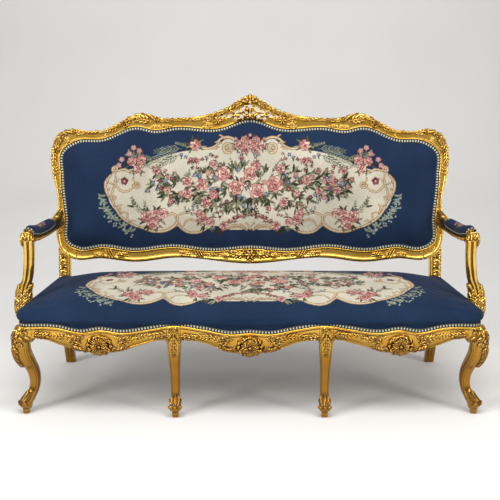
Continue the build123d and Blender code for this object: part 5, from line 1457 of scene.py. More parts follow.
corner_leg = front_leg(
    "front_leg", CORNER_LEG_SHARES, (854.0, -282.0), (-33.0, 33.0), 64.0, -45.0, corner_head, True
)
front_leg(
    "front_leg_middle", MIDDLE_LEG_SHARES, (MIDDLE_LEG_X, -317.0), (0.0, 24.0), 50.0, -90.0, middle_head, False
)
print("a leg:", len(corner_leg.data.vertices), "points")

# %% [markdown]
# ## Arm posts and arms
#
# The posts rise from the side rails, well behind the front legs, and lean forward to the hands. Their
# front has two reeds above, and overlapping leaves where it swells over the rail. The arm is a shaped
# bar that dips and spreads on its way to the hand, where it rolls under into a scroll.


# %% Posts and arms
POST_OUTER = [
    (-0.235, 0.95), (-0.10, 0.16), (0.05, 0.0), (0.19, 0.05), (0.33, 0.30), (0.44, 0.72), (0.60, 1.02),
    (0.80, 1.22), (1.0, 1.32),
]
POST_INNER = [
    (-0.235, 1.60), (0.05, 1.50), (0.19, 1.40), (0.33, 1.52), (0.44, 1.74), (0.60, 2.00), (0.80, 2.20),
    (1.0, 2.32),
]
POST_SIDE = [(-0.235, 0.05, 0.62), (0.0, 0.0, 1.0), (0.30, -0.35, 0.86), (0.65, 0.25, 0.74), (1.0, 1.0, 0.86)]


def arm_post():
    """The right-hand post, from inside the side rail up to the arm."""
    z = np.arange(302.0, 651.0, 2.0)
    up = (z - 368.0) / 282.0
    outer = 903 - 38 * from_table(POST_OUTER, 1, up)
    inner = 903 - 38 * from_table(POST_INNER, 1, up)
    inner = np.where(z < 368, np.maximum(inner, 860.0), inner)
    outer = np.maximum(outer, inner + 8)
    lean, depth = from_table(POST_SIDE, 1, up), from_table(POST_SIDE, 2, up)
    middles = np.stack([(outer + inner) / 2, -150 - 26 * lean], 1)
    halves = np.stack([(outer - inner) / 2, 23 * depth], 1)
    strokes = []
    for run in (-10.5, 10.5):
        strokes.append(([(run, 646), (run, 560), (run * 0.8, 480), (run * 0.4, 420)], [8.0, 8.0, 7.0, 4.0], 3.8))
    for place, odd, size in ((470, 0, 12), (452, 1, 15), (432, 0, 18), (412, 1, 19), (392, 0, 19), (376, 1, 17)):
        for run in ((-36, -12, 12, 36) if odd else (-48, -24, 0, 24, 48)):
            if place < 460 or abs(run) >= 20:
                strokes += leaf((run, place), -90 - run * 0.2, size * 1.6, size * 0.8, 7, 0, 3)
    for hand in (-1, 1):
        strokes += [([(hand * 25, 640), (hand * 25, 510)], [3.0, 3.0], 2.2)]
    return carved_post(z, middles, halves, -90, strokes, 110, 3.2)


ARM_SHARES = [
    (-0.06, 0.0, -0.05, 0.68, 1.48), (0.04, 0.06, 0.10, 0.72, 1.30), (0.14, 0.22, 0.45, 0.80, 1.12),
    (0.28, 0.50, 0.84, 0.93, 1.0), (0.42, 0.72, 1.0, 1.0, 0.94), (0.58, 0.90, 0.94, 1.0, 0.92),
    (0.74, 1.0, 0.62, 1.0, 0.95), (0.88, 1.0, 0.15, 0.95, 1.0), (0.97, 1.0, 0.02, 0.90, 0.90),
]
ARM_REACH = 425.0
ARM_START = BACK_START[0] + (662.0 - BACK_START[1]) * math.tan(LEAN) - 12.0


def arm_run(along):
    """Middle, half width and half height of the arm at shares of its reach."""
    keys = [row[0] * 100 for row in ARM_SHARES]
    out, dip, width, height = (
        smooth_values(keys, [row[k] * 100 for row in ARM_SHARES], np.asarray(along) * 100) / 100
        for k in (1, 2, 3, 4)
    )
    middle = np.stack([804 + 42 * out, ARM_START - ARM_REACH * np.asarray(along), 662 - 24 * dip], -1)
    return middle, 22 * width, 21 * height


def arm(columns=84):
    """The right-hand arm, from the back to the hand, with leaves along both of its sides."""
    along = np.arange(-0.055, 0.975, 0.006)
    middle, half_width, half_height = arm_run(along)
    turn, unit = squircle(columns, 3.0, 90)
    # The chart is the distance along the arm, and round it from its inner upper edge
    flat = unit[None] * np.stack([half_width, half_height], 1)[:, None]
    chart_u = np.broadcast_to((along * ARM_REACH)[:, None], flat.shape[:2])
    chart_v = np.broadcast_to((turn - math.pi)[None] * 21, flat.shape[:2])
    strokes = []
    for side in (-1.57 * 21, 1.57 * 21):
        strokes += leaf((76, side), 180, 70, 26, 8, 0, 5) + leaf((326, side), 0, 70, 24, 8, 0, 4)
        strokes += [([(84, side + off), (330, side + off)], [3, 3], 3.5) for off in (13, -13)]
    relief, hollow = carve(chart_u, chart_v, strokes)
    radial = unit / np.linalg.norm(unit, axis=1)[:, None]
    raised = flat + radial[None] * relief[..., None]
    sections = np.stack([
        middle[:, None, 0] + raised[..., 0], middle[:, None, 1] + BEHIND + 0 * relief,
        middle[:, None, 2] + raised[..., 1]
    ], -1)
    return tube(sections, hollow)


def hand_scroll():
    """The rolled end of the arm: a drum across the arm with a leaf on its front and an eye each side."""
    middle = np.array([844.0, ARM_START - ARM_REACH + 25.0 + BEHIND, 650.0])
    stations = np.linspace(-1, 1, 33)
    radii = 25.0 * (1 - 0.36 * np.abs(stations) ** 6) * (1 - 0.10 * np.cos(np.pi * stations) ** 2)
    radii = radii + 1.6 * np.exp(-((np.abs(stations) - 0.72) / 0.10) ** 2)
    turn = np.linspace(0, 2 * math.pi, 90, endpoint=False)
    across = np.broadcast_to((stations * 20)[:, None], (33, 90))
    around = np.broadcast_to(((turn + math.pi) % (2 * math.pi) - math.pi)[None] * 25, (33, 90))
    strokes = leaf((0, 36), -90, 78, 30, 9, 0, 5) + leaf((-10, 24), -104, 44, 16, 8, 8)
    strokes += leaf((10, 24), -76, 44, 16, 8, -8)
    relief, hollow = carve(across, around, strokes)
    size = radii[:, None] + relief
    drum = np.stack([middle[0] + across, middle[1] - np.cos(turn) * size, middle[2] + np.sin(turn) * size], -1)
    lots = [tube(drum, hollow)]
    loops = np.linspace(0, 2 * math.pi, 10, endpoint=False)[:, None]
    share = np.arange(46) / 45
    angle, radius = -0.6 + share * 2 * math.pi * 1.6, 20.5 * (1 - share) ** 0.8 + 2.0
    for side in (-1, 1):
        eye = np.stack([side * 19.5 + 0 * share, -np.cos(angle) * radius, np.sin(angle) * radius], 1)
        rings = []
        for k, place in enumerate(eye):
            ahead = eye[min(k + 1, 45)] - eye[max(k - 1, 0)]
            aside = np.cross(ahead / np.linalg.norm(ahead), (1.0, 0.0, 0.0))
            thick = 3.4 - 1.2 * k / 45
            rings.append(middle + place + (np.cos(loops) * aside + np.sin(loops) * (1.0, 0, 0)) * thick)
        lots.append(tube(np.array(rings)))
        lots.append(ball(middle + (side * 20.0, 0, 0), 5.0, rows=8, columns=12))
    return lots


gilded_pair("carved_arm_post", arm_post(), "arm_post")
whole_arm = joined([arm()] + hand_scroll())
gilded_pair("carved_arm", whole_arm, "arm")
print("arm:", len(whole_arm[0]), "points")

# %% [markdown]
# ## Stuffed cloth
#
# A cover is cut flat, pulled over the stuffing and tacked under the braid. So its mesh starts as a flat
# chart on a square grid, clipped to the tacking line. Each point is then lifted to the stuffed form,
# and a short cloth simulation with a little air pressure inside lets the cover swell and settle.


# %% Cloth makers
def edge_distance(points, line):
    """Distance of points to a closed line, the nearest place on it, and whether they are inside it."""
    ends = np.roll(line, -1, 0)
    best = np.full(len(points), 1e9)
    places = np.zeros_like(points)
    inside = np.zeros(len(points), bool)
    for a, b in zip(line, ends):
        d = b - a
        if not d.any():
            continue
        t = np.clip(((points - a) @ d) / (d @ d), 0, 1)
        spot = a + t[:, None] * d
        gap = np.linalg.norm(points - spot, axis=1)
        closer = gap < best
        best[closer], places[closer] = gap[closer], spot[closer]
        if a[1] != b[1]:
            crosses = (a[1] > points[:, 1]) != (b[1] > points[:, 1])
            inside ^= crosses & (points[:, 0] < a[0] + (points[:, 1] - a[1]) / (b[1] - a[1]) * d[0])
    return best, places, inside


def clipped_grid(line, step):
    """A square grid inside a closed line, with its rim drawn onto the line."""
    low, high = line.min(0) - step, line.max(0) + step
    counts = np.ceil((high - low) / step).astype(int) + 1
    x, y = (np.linspace(low[k], high[k], counts[k]) for k in (0, 1))
    chart = np.stack(np.meshgrid(x, y, indexing="ij"), -1).reshape(-1, 2)
    gap, places, inside = edge_distance(chart, line)
    signed = np.where(inside, gap, -gap)
    faces = grid_faces(counts[0], counts[1])
    faces = faces[(signed[faces] > -step * 0.45).all(axis=1)]
    snapped = signed < step * 0.35
    chart[snapped] = places[snapped]
    used = np.unique(faces)
    renumbered = np.full(len(chart), -1)
    renumbered[used] = np.arange(len(used))
    gap, _, _ = edge_distance(chart[used], line)
    return chart[used], renumbered[faces], gap


def corners_of(mesh):
    """The point under each corner of a mesh's faces."""
    corners = np.empty(len(mesh.loops), np.int32)
    mesh.loops.foreach_get("vertex_index", corners)
    return corners


def lay_chart(made, chart):
    """Keeps a flat chart in millimetres as texture coordinates in metres."""
    layer = made.data.uv_layers.new(name="cloth")
    layer.data.foreach_set("uv", (chart[corners_of(made.data)] * MM).astype(np.float32).ravel())


def cloth_piece(name, chart, faces, points, material, slot, replaced, facing=None):
    """A cloth mesh that faces one way and keeps its flat chart."""
    made = piece(name, points, faces, material, replaced, slot)
    if facing:
        normals = np.empty(len(made.data.polygons) * 3, np.float32)
        made.data.polygons.foreach_get("normal", normals)
        if normals.reshape(-1, 3).sum(0) @ np.array(facing) < 0:
            made.data.flip_normals()
    lay_chart(made, chart)
    return made


def swell(made, held, cap, pressure=4.0, frames=20):
    """Blows a cover up a little as cloth, with its rim held, and keeps the result."""
    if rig.quick():
        return
    group = made.vertex_groups.new(name="tacked")
    group.add([int(i) for i in np.nonzero(held)[0]], 1.0, "REPLACE")
    start = places_of(made.data)
    cloth = made.modifiers.new("cloth", "CLOTH")
    cloth.settings.quality = 4
    cloth.settings.vertex_group_mass = "tacked"
    cloth.settings.use_pressure = True
    cloth.settings.uniform_pressure_force = pressure
    cloth.settings.tension_stiffness = cloth.settings.compression_stiffness = 25.0
    cloth.settings.bending_stiffness = 1.5
    cloth.settings.effector_weights.gravity = 0.0
    scene = bpy.context.scene
    for step in range(1, frames + 1):
        scene.frame_set(step)
    shape = made.evaluated_get(bpy.context.evaluated_depsgraph_get())
    result = places_of(shape.data)
    made.modifiers.remove(cloth)
    scene.frame_set(1)
    moved = result - start
    far = np.linalg.norm(moved, axis=1)
    moved *= np.minimum(1.0, cap * MM / np.maximum(far, 1e-9))[:, None]
    made.data.vertices.foreach_set("co", (start + moved).astype(np.float32).ravel())
    made.data.update()
    print(made.name, "swelled by", np.round(np.percentile(far, (10, 50, 90, 100)) / MM, 1), "mm")


def divided(made, times):
    """The same piece with its mesh subdivided smoothly."""
    levels = made.modifiers.new("finer", "SUBSURF")
    levels.levels = times
    levels.boundary_smooth = "PRESERVE_CORNERS"
    shape = made.evaluated_get(bpy.context.evaluated_depsgraph_get())
    finer = bpy.data.meshes.new_from_object(shape)
    made.modifiers.remove(levels)
    old, made.data = made.data, finer
    bpy.data.meshes.remove(old)
    smoothed(finer)


def chart_of(mesh):
    """The flat chart of each point, in millimetres."""
    values = np.empty(len(mesh.loops) * 2, np.float32)
    mesh.uv_layers["cloth"].data.foreach_get("uv", values)
    chart = np.zeros((len(mesh.vertices), 2))
    chart[corners_of(mesh)] = values.reshape(-1, 2)
    return chart / MM


print("cloth makers ready")

# %% [markdown]
# ## The woven flowers
#
# The pattern is a pale oval ground in a border of tan scrolls, with a long bouquet of roses along its
# middle and small bunches round its edge. Such patterns are traditional. This one is laid out from
# strokes in a unit oval, from -1 to 1 each way, and each stroke has a colour at its middle and one at
# its edge. The same drawing serves the seat and the back at their own sizes.


# %% Tapestry pattern
def thread(code):
    """A colour in the mesh's own linear values from a two-digit hexadecimal triple."""
    parts = np.array([int(code[k:k + 2], 16) for k in (0, 2, 4)]) / 255
    return np.where(parts < 0.04045, parts / 12.92, ((parts + 0.055) / 1.055) ** 2.4)


NAVY, CREAM, TAN, BROWN = thread("192a45"), thread("beb8a6"), thread("a07e52"), thread("6a4a30")
PALE_TAN, LIME = thread("c2b294"), thread("8d9c90")
GREENS = [thread(code) for code in ("2b2d20", "484b36", "696b50", "8c8c70")]
PINKS = [thread(code) for code in ("cc9e92", "bd8a80", "a86d69", "d6b5a6")]
REDS = [thread(code) for code in ("4a1c22", "6a2f36", "85474c")]
BLUES = [thread(code) for code in ("39425a", "5c667a", "868d97")]


class Pattern:
    """Coloured strokes laid out in millimetres, in the order in which they are worked."""

    def __init__(self, half_width, half_height, seed):
        self.half = np.array([half_width, half_height])
        self.strokes = []
        self.random = np.random.default_rng(seed)

    def at(self, u, v):
        return np.array([u, v]) * self.half

    def add(self, strokes, inner, outer):
        for stroke in strokes:
            self.strokes.append((stroke[0], stroke[1], inner, outer))

    def curve(self, width, *points, every=5):
        """A ribbon along a smooth line through places in the unit oval."""
        self.ribbon(smooth_path([self.at(*point) for point in points])[::every], width)

    def choose(self, colours):
        return colours[self.random.integers(len(colours))]

    def leaves(self, middle, angle, size, count=3, spread=70):
        """A tuft of pointed leaves with dark ribs."""
        for k in range(count):
            way = angle + spread * (k - (count - 1) / 2) / max(1, count - 1) + self.random.uniform(-8, 8)
            length = size * self.random.uniform(0.8, 1.15)
            path = bent(middle, way, length, self.random.uniform(-30, 30), 5)
            widths = np.array([0.05, 0.12, 0.14, 0.10, 0.03]) * length + 0.9
            self.add([(path, widths)], self.choose(GREENS), GREENS[0])

    def fern(self, start, angle, length, bend=0.0, colours=GREENS, size=0.20, width=1.9):
        """A stem with pairs of narrow leaflets."""
        stem = bent(start, angle, length, bend, 8)
        self.add([(stem, np.full(8, 1.5))], colours[1], colours[0])
        for share in np.linspace(0.12, 0.98, max(5, int(length / 13))):
            place = even(stem, 51)[int(share * 50)]
            for side in (1, -1):
                way = angle + bend * share + side * 42
                reach = length * size * (1.15 - 0.6 * share)
                path = bent(place, way, reach, -side * 20, 4)
                self.add([(path, (0.8, width, width, 0.8))], self.choose(colours[1:]), colours[0])

    def rose(self, middle, radius):
        """An open rose: two rounds of pale petals, each with a dark edge, and a curled heart."""
        middle = np.asarray(middle, float)
        turn = self.random.uniform(0, 360)
        edge = 1.1 + radius * 0.018
        for reach, size, count in ((0.64, 0.36, 7), (0.36, 0.30, 5), (0.10, 0.26, 2)):
            for k in range(count):
                spot = middle + radius * reach * toward(turn + 360 * k / count)
                colour = self.choose(PINKS)
                self.add([([spot], [radius * size + edge])], REDS[1], REDS[0])
                self.add([([spot], [radius * size])], colour * 1.08, colour * 0.86)
            turn += 40
        self.add([([middle + (0, -radius * 0.04)], [radius * 0.12 + 0.8])], REDS[2], REDS[0])

    def bloom(self, middle, radius, colours, petals=5):
        """A small open flower with a pale eye."""
        middle = np.asarray(middle, float)
        turn = self.random.uniform(0, 72)
        self.add([([middle], [radius * 0.62])], colours[0], colours[0])
        for k in range(petals):
            spot = middle + radius * 0.58 * toward(turn + 360 * k / petals)
            self.add([([spot], [radius * 0.44])], self.choose(colours[1:]), colours[0])
        self.add([([middle], [radius * 0.24])], CREAM, TAN)

    def sprig(self, start, angle, length, colours, bend=20.0):
        """A stem with buds at its side and end."""
        stem = bent(start, angle, length, bend, 6)
        self.add([(stem, np.full(6, 1.3))], GREENS[1], GREENS[0])
        for k, share in enumerate((0.35, 0.6, 0.82, 1.0)):
            place = even(stem, 51)[int(share * 50)]
            side = 1 if k % 2 else -1
            spot = place + side * length * 0.14 * toward(angle + 90)
            self.leaves(place, angle + side * 60, length * 0.24, 1)
            self.bloom(spot, length * 0.10, colours, 4)

    def bunch(self, middle, radius, size, count):
        """Roses packed in a round, with leaves behind them."""
        for k in range(count + 3):
            way = 360 * k / (count + 3) + self.random.uniform(-15, 15)
            spot = middle + radius * 0.75 * toward(way)
            self.leaves(spot, way, size * 1.15, 2, 50)
            self.bloom(spot + self.random.uniform(-6, 6, 2), size * 0.26, self.choose([REDS, BLUES, REDS]), 4)
        for k in range(count):
            spot = middle + radius * 0.52 * toward(360 * k / count + 20)
            self.rose(spot, size * self.random.uniform(0.85, 1.1))

    def ribbon(self, path, width):
        """A tan scroll with a brown rim and a pale middle."""
        widths = width * (0.55 + 0.45 * np.sin(np.pi * np.linspace(0, 1, len(path)))) * 0.8
        self.add([(path, widths + 1.5)], BROWN, BROWN)
        self.add([(path, widths)], PALE_TAN, TAN)

    def volute(self, start, angle, length, hand, width):
        """A tan stem that winds up into an eye."""
        for path, widths, _ in scroll(start, angle, length, 1.25, width, 1, hand):
            self.add([(path, np.asarray(widths) + 1.8)], BROWN, BROWN)
            self.add([(path, widths)], PALE_TAN, TAN)

    def mirror(self):
        """Adds the mirror image of every stroke so far."""
        self.strokes += [(np.asarray(path, float) * (-1, 1), *rest) for path, *rest in self.strokes]


print("threads:", 6 + len(GREENS + PINKS + REDS + BLUES), "colours")

# %% [markdown]
# ### The ground, its border and the sprays
#
# Places are shares of the oval's half width and half height. Only the right half is laid out, and it is
# mirrored before the flowers of the middle are worked over it.


# %% Ground, border and sprays
# The pale ground's outline, right half from its top
GROUND = [
    (0, 0.80), (0.10, 0.88), (0.16, 0.93), (0.22, 0.80), (0.34, 0.72), (0.47, 0.66), (0.60, 0.55), (0.72, 0.40),
    (0.84, 0.28), (0.93, 0.22), (0.985, 0.02), (0.975, -0.28), (0.92, -0.56), (0.83, -0.80), (0.69, -0.93),
    (0.57, -0.95), (0.49, -0.86), (0.43, -0.96), (0.33, -0.97), (0.24, -0.86), (0.13, -0.94), (0, -0.92),
]


def sprays(p):
    """Pale sprays that spill over the edge onto the blue."""
    sea = [GREENS[2], LIME, GREENS[3], LIME]
    for k in range(13):
        share = k / 12
        place = p.at(0.99 - 0.20 * share**1.6, -0.22 - 0.68 * share**0.8)
        p.fern(place, -8 - 62 * share + p.random.uniform(-25, 25), p.random.uniform(26, 42), 60, sea, 0.24, 1.1)
        for j in range(3):
            p.bloom(place + p.random.uniform(4, 40, 2) * (1, -1), 4.5, [LIME, LIME, GREENS[3]], 4)
    pale = [GREENS[1], GREENS[2], GREENS[3], LIME]
    for u, v, way, reach, bend, colours, size in (
        (0.66, 0.44, 26, 92, -12, pale, 0.30), (0.50, 0.66, -16, 150, -12, pale, 0.24),
        (0.48, 0.60, -24, 120, -10, GREENS, 0.26), (0.47, 0.72, 4, 110, -18, pale, 0.24),
        (0.43, 0.76, 30, 50, -20, pale, 0.26),
    ):
        p.fern(p.at(u, v), way, reach, bend, colours, size)


def border(p):
    """Tan scrolls down the side, at the top and at the foot."""
    p.curve(6.5, (0.93, 0.24), (0.99, 0.05), (0.98, -0.20), (0.93, -0.40))
    p.curve(4.5, (0.90, 0.10), (0.94, -0.10), (0.95, -0.30), (0.88, -0.60))
    p.curve(5.5, (0.95, -0.30), (0.90, -0.62), (0.80, -0.84), (0.70, -0.93))
    for u, v, way in ((0.965, -0.26, 60), (0.93, -0.44, 70), (0.885, -0.60, 60), (0.975, 0.02, 80),
                      (0.83, -0.78, 50)):
        p.ribbon(bent(p.at(u, v), way, 40, 60, 6), 3.6)
        p.ribbon(bent(p.at(u, v), way + 90, 26, 60, 5), 3.0)
    p.curve(5.5, (0.93, 0.24), (0.86, 0.30), (0.80, 0.22), (0.76, 0.28))
    p.curve(4.5, (0.92, 0.20), (0.92, -0.02), (0.86, -0.16), (0.80, -0.04), (0.80, 0.14))
    p.volute(p.at(0.80, -0.02), 250, 46, -1, 4.0)
    p.volute(p.at(0.94, 0.26), 60, 40, 1, 4.0)
    p.bloom(p.at(0.862, 0.06), 17, REDS, 5)
    p.curve(5.5, (0.235, 0.72), (0.215, 0.90), (0.16, 0.97), (0.105, 0.90), (0.10, 0.74), (0.14, 0.64), every=4)
    p.volute(p.at(0.14, 0.64), 0, 84, 1, 5.5)
    p.curve(5.0, (0.215, 0.84), (0.27, 0.74), (0.33, 0.74), (0.38, 0.84))
    for k, v in enumerate((0.92, 0.84, 0.76)):
        p.ribbon(bent(p.at(0.175 + 0.02 * k, v), 60 - 30 * k, 30, -40, 5), 3.0)
    p.curve(7.0, (0.76, -0.88), (0.66, -0.98), (0.56, -0.93), (0.50, -0.74), (0.53, -0.60), (0.58, -0.66), every=4)
    p.curve(6.0, (0.50, -0.84), (0.44, -0.98), (0.35, -0.99), (0.29, -0.90))
    p.curve(4.5, (0.47, -0.90), (0.50, -0.66), (0.44, -0.58), (0.37, -0.62))
    p.curve(4.0, (0.46, -0.86), (0.43, -0.74), (0.38, -0.74), (0.33, -0.86))
    for k in range(5):
        p.ribbon(bent(p.at(0.005 + 0.026 * k, -0.93 + 0.012 * k), 84 - 20 * k, 34 - 3 * k, -46, 5), 3.4)
    p.curve(4.0, (0.02, -0.95), (0.10, -0.84), (0.16, -0.90), (0.20, -0.98))


print("ground:", len(GROUND), "points on its right half")

# %% [markdown]
# ### The flowers
#
# Small bunches and garlands lie round the edge, a bunch hangs at the top, and a long bouquet lies along
# the middle. Its leaves and stems are scattered first, then the small flowers, and the roses come last,
# at their own places, so that nothing covers them.


# %% Flowers
MIXED = [REDS[1], PINKS[1], PINKS[0]]


def garlands(p):
    """Bunches and garlands round the right half of the edge."""
    p.leaves(p.at(0.80, -0.46), 50, 30, 2)
    p.fern(p.at(0.735, -0.62), 48, 84, 16, size=0.24)
    p.fern(p.at(0.715, -0.60), 78, 50, 12, size=0.24)
    p.bunch(p.at(0.675, -0.70), 44, 25, 3)
    p.rose(p.at(0.60, -0.60), 23)
    p.bunch(p.at(0.30, -0.74), 34, 21, 2)
    p.rose(p.at(0.345, -0.60), 18)
    p.sprig(p.at(0.37, -0.60), 10, 50, BLUES)
    p.leaves(p.at(0.20, -0.92), -60, 30, 3)
    p.leaves(p.at(0.24, -0.90), -20, 26, 3)
    for k, share in enumerate(np.linspace(0.08, 1, 6)):
        u = 0.185 - 0.17 * share
        v = -0.86 + 0.24 * math.sin(share * math.pi / 2)
        p.leaves(p.at(u, v - 0.03), 70 if k % 2 else 250, 14, 2)
        p.leaves(p.at(u - 0.012, v + 0.03), 250 if k % 2 else 70, 12, 2)
        p.bloom(p.at(u - 0.014, v), 6, REDS, 4)
        p.rose(p.at(u, v), 11 - 3.0 * share)
    p.rose(p.at(0.18, -0.86), 19)
    p.bunch(p.at(0.775, 0.42), 44, 21, 3)
    for u, v in ((0.83, 0.62), (0.88, 0.50), (0.76, 0.68), (0.80, 0.74), (0.90, 0.38)):
        p.leaves(p.at(u - 0.012, v - 0.03), 40, 24, 2)
        p.bloom(p.at(u, v), 12, MIXED, 5)
    p.sprig(p.at(0.70, 0.34), 200, 56, [REDS[0], PINKS[1], PINKS[2]], -20)
    p.rose(p.at(0.645, 0.27), 14)
    p.leaves(p.at(0.645, 0.20), -90, 24, 3)
    p.rose(p.at(0.375, 0.80), 25)
    for way in (0, 50, 130, 200, 320):
        p.leaves(p.at(0.375, 0.80) + 22 * toward(way), way, 24, 2)
    for k, share in enumerate(np.linspace(0, 1, 8)):
        u, v = 0.27 + 0.20 * share, 0.60 - 0.12 * math.sin(share * math.pi)
        p.leaves(p.at(u, v - 0.02), 90 + 180 * (k % 2), 15, 1)
        p.bloom(p.at(u, v), 9, REDS if k in (2, 3, 5) else BLUES, 4)
    p.rose(p.at(0.37, 0.47), 15)
    p.rose(p.at(0.405, 0.49), 12)


def top_bunch(p):
    """The bunch of roses in the middle of the top."""
    for way in range(0, 360, 36):
        p.leaves(p.at(0, 0.80) + toward(way) * (62, 28), way, 20, 2)
    for u, v, size in ((-0.075, 0.80, 20), (0.075, 0.80, 20), (-0.035, 0.90, 18), (0.04, 0.90, 18),
                       (-0.035, 0.70, 18), (0.035, 0.70, 18), (0.0, 0.80, 23)):
        p.rose(p.at(u, v), size)
    for u, v in ((-0.10, 0.93), (0.10, 0.93), (0.0, 1.0), (-0.06, 0.60), (0.06, 0.60)):
        p.bloom(p.at(u, v), 8, MIXED, 5)


# The bouquet's stems with buds: place, angle and length. Its roses: place and size, the largest last
STEMS = [
    (0.52, -0.02, 2, 110), (-0.52, -0.02, 178, 110), (0.46, 0.14, 24, 80), (-0.48, 0.12, 158, 84),
    (0.44, -0.22, -26, 76), (-0.44, -0.24, 206, 80), (0.20, 0.30, 56, 66), (-0.20, 0.30, 120, 66),
    (-0.05, 0.36, 96, 60), (-0.18, -0.38, 236, 60), (0.16, -0.40, -52, 60), (0.34, 0.24, 40, 66),
    (-0.34, 0.22, 140, 66), (0.30, -0.34, -40, 56), (-0.32, -0.34, 220, 58), (0.04, 0.38, 80, 52),
]
ROSES = [
    (-0.545, -0.35, 12), (-0.57, -0.125, 15), (0.60, -0.125, 15), (0.56, 0.04, 14), (0.47, 0.27, 12),
    (-0.255, 0.40, 16), (0.125, -0.50, 12), (0.476, -0.14, 16), (0.32, -0.19, 15), (-0.055, 0.52, 10),
    (-0.43, -0.19, 22), (-0.43, 0.05, 21), (0.39, 0.08, 21), (0.23, -0.375, 19), (-0.30, -0.385, 22),
    (-0.25, -0.21, 20), (0.21, 0.31, 20), (0.04, 0.375, 21), (-0.33, -0.02, 27), (-0.035, 0.04, 20),
    (0.0, 0.20, 27), (-0.186, 0.21, 32), (0.172, 0.0, 36), (-0.097, -0.07, 32), (0.045, -0.13, 31),
]


def bouquet(p):
    """The long bouquet: leaves, ferns and stems, then small flowers, then roses."""
    half_width, half_height = p.half
    for k in range(150):
        u = p.random.uniform(-0.66, 0.66)
        v = p.random.uniform(-1, 1) * (0.46 * (1 - abs(u) / 0.80) ** 0.6) - 0.05
        way = math.degrees(math.atan2(v * half_height * 1.4, u * half_width * 0.5))
        p.leaves(p.at(u, v), way, p.random.uniform(22, 38), 3, 80)
    for k in range(26):
        u = p.random.uniform(-0.66, 0.66)
        v = (p.random.uniform(0.2, 0.44) * (1 if k % 2 else -1)) * (1 - abs(u) / 0.9) - 0.05
        way = math.degrees(math.atan2(v * half_height * 1.6, u * half_width * 0.5)) + p.random.uniform(-20, 20)
        p.fern(p.at(u, v), way, p.random.uniform(44, 66), p.random.uniform(-20, 20), size=0.20)
    for u, v, way, reach in STEMS:
        colours = p.choose([BLUES, REDS, [REDS[0], PINKS[1], PINKS[2]]])
        p.sprig(p.at(u, v), way, reach, colours, p.random.uniform(-30, 30))
    for k in range(60):
        u = p.random.uniform(-0.64, 0.64)
        v = p.random.uniform(-1, 1) * (0.42 * (1 - abs(u) / 0.80) ** 0.6) - 0.05
        p.bloom(p.at(u, v), p.random.uniform(8, 13), p.choose([BLUES, BLUES, REDS, MIXED]), 5)
    for u, v, size in ROSES:
        p.rose(p.at(u, v), size)
        for k in range(2):
            p.leaves(p.at(u, v) + (0, -size * 1.05), p.random.uniform(-160, -20), size * 0.9, 2)


def floral(half_width, half_height, seed):
    """The whole pattern's strokes, and the outline of its pale ground, in millimetres."""
    p = Pattern(half_width, half_height, seed)
    for work_in in (sprays, border, garlands, Pattern.mirror, top_bunch, bouquet):
        work_in(p)
    half = smooth_path([p.at(*place) for place in GROUND])
    return p.strokes, np.vstack([half, (half[1:-1] * (-1, 1))[::-1]])


def dye(made, chart, strokes, colours, some=slice(None)):
    """Works strokes over the colours of some of a cover's points, and keeps all of them on its mesh."""
    spots, worked = chart[some], colours[some]
    for path, widths, inner, outer in strokes:
        found, out, _ = near(spots[:, 0], spots[:, 1], path, widths)
        if len(found):
            share = (out**2)[:, None]
            worked[found] = inner * (1 - share) + outer * share
    colours[some] = worked
    layer = made.data.attributes.new("woven", "FLOAT_COLOR", "POINT")
    layer.data.foreach_set("color", np.hstack([colours, np.ones((len(colours), 1))]).astype(np.float32).ravel())


def work(made, middle, half_width, half_height, seed, ground_colour=NAVY):
    """Colours every point of a cover with the pattern round a middle, in the cover's flat chart."""
    chart = chart_of(made.data) - middle
    strokes, ground = floral(half_width, half_height, seed)
    colours = np.tile(ground_colour, (len(chart), 1))
    colours[edge_distance(chart, ground)[2]] = CREAM
    some = np.nonzero((np.abs(chart[:, 0]) < half_width * 1.25) & (np.abs(chart[:, 1]) < half_height * 1.3))[0]
    dye(made, chart, strokes, colours, some)
    return len(strokes)


print("the pattern has", len(floral(600.0, 200.0, 3)[0]), "strokes")

# %% [markdown]
# ## The back's cover
#
# The cloth is tacked to the ledge all round the sight edge, and the stuffing starts a little way in, so
# the cover lies flat under the braid and then rises to a firm, shallow crown.


# %% Back cover
def closed_sight(distance):
    """The whole sight edge, drawn in by a distance."""
    whole = ring(np.vstack([SIGHT, (SIGHT[1:-1] * (-1, 1))[::-1]]), 420)
    return whole - outward_of(whole) * distance


def area_of(line):
    """The area inside a closed line, which is negative if the line runs clockwise."""
    return np.sum(line[:, 0] * np.roll(line[:, 1], -1) - np.roll(line[:, 0], -1) * line[:, 1]) / 2


def outward_of(line):
    """Normals that point out of a closed line, whichever way it runs."""
    return outward(line) if area_of(line) < 0 else -outward(line)


BACK_RISE_KEYS = [-5, 0, 12, 14, 26, 40, 75, 130, 210, 300, 400]
BACK_RISE_VALUES = [4.5, 4.5, 5.0, 6.5, 17.0, 23.5, 30.0, 33.0, 35.0, 35.5, 35.5]
CLOTH_STEP = 14.0 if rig.quick() else 10.0


def back_layer(name, inset, sink, step, material, slot, replaced):
    chart, faces, gap = clipped_grid(closed_sight(inset), step)
    height = smooth_values(BACK_RISE_KEYS, BACK_RISE_VALUES, gap + inset) - sink
    points = leaned(chart[:, 0], chart[:, 1], height)
    return cloth_piece(name, chart, faces, points, material, slot, replaced, (0, -1, 0)), gap


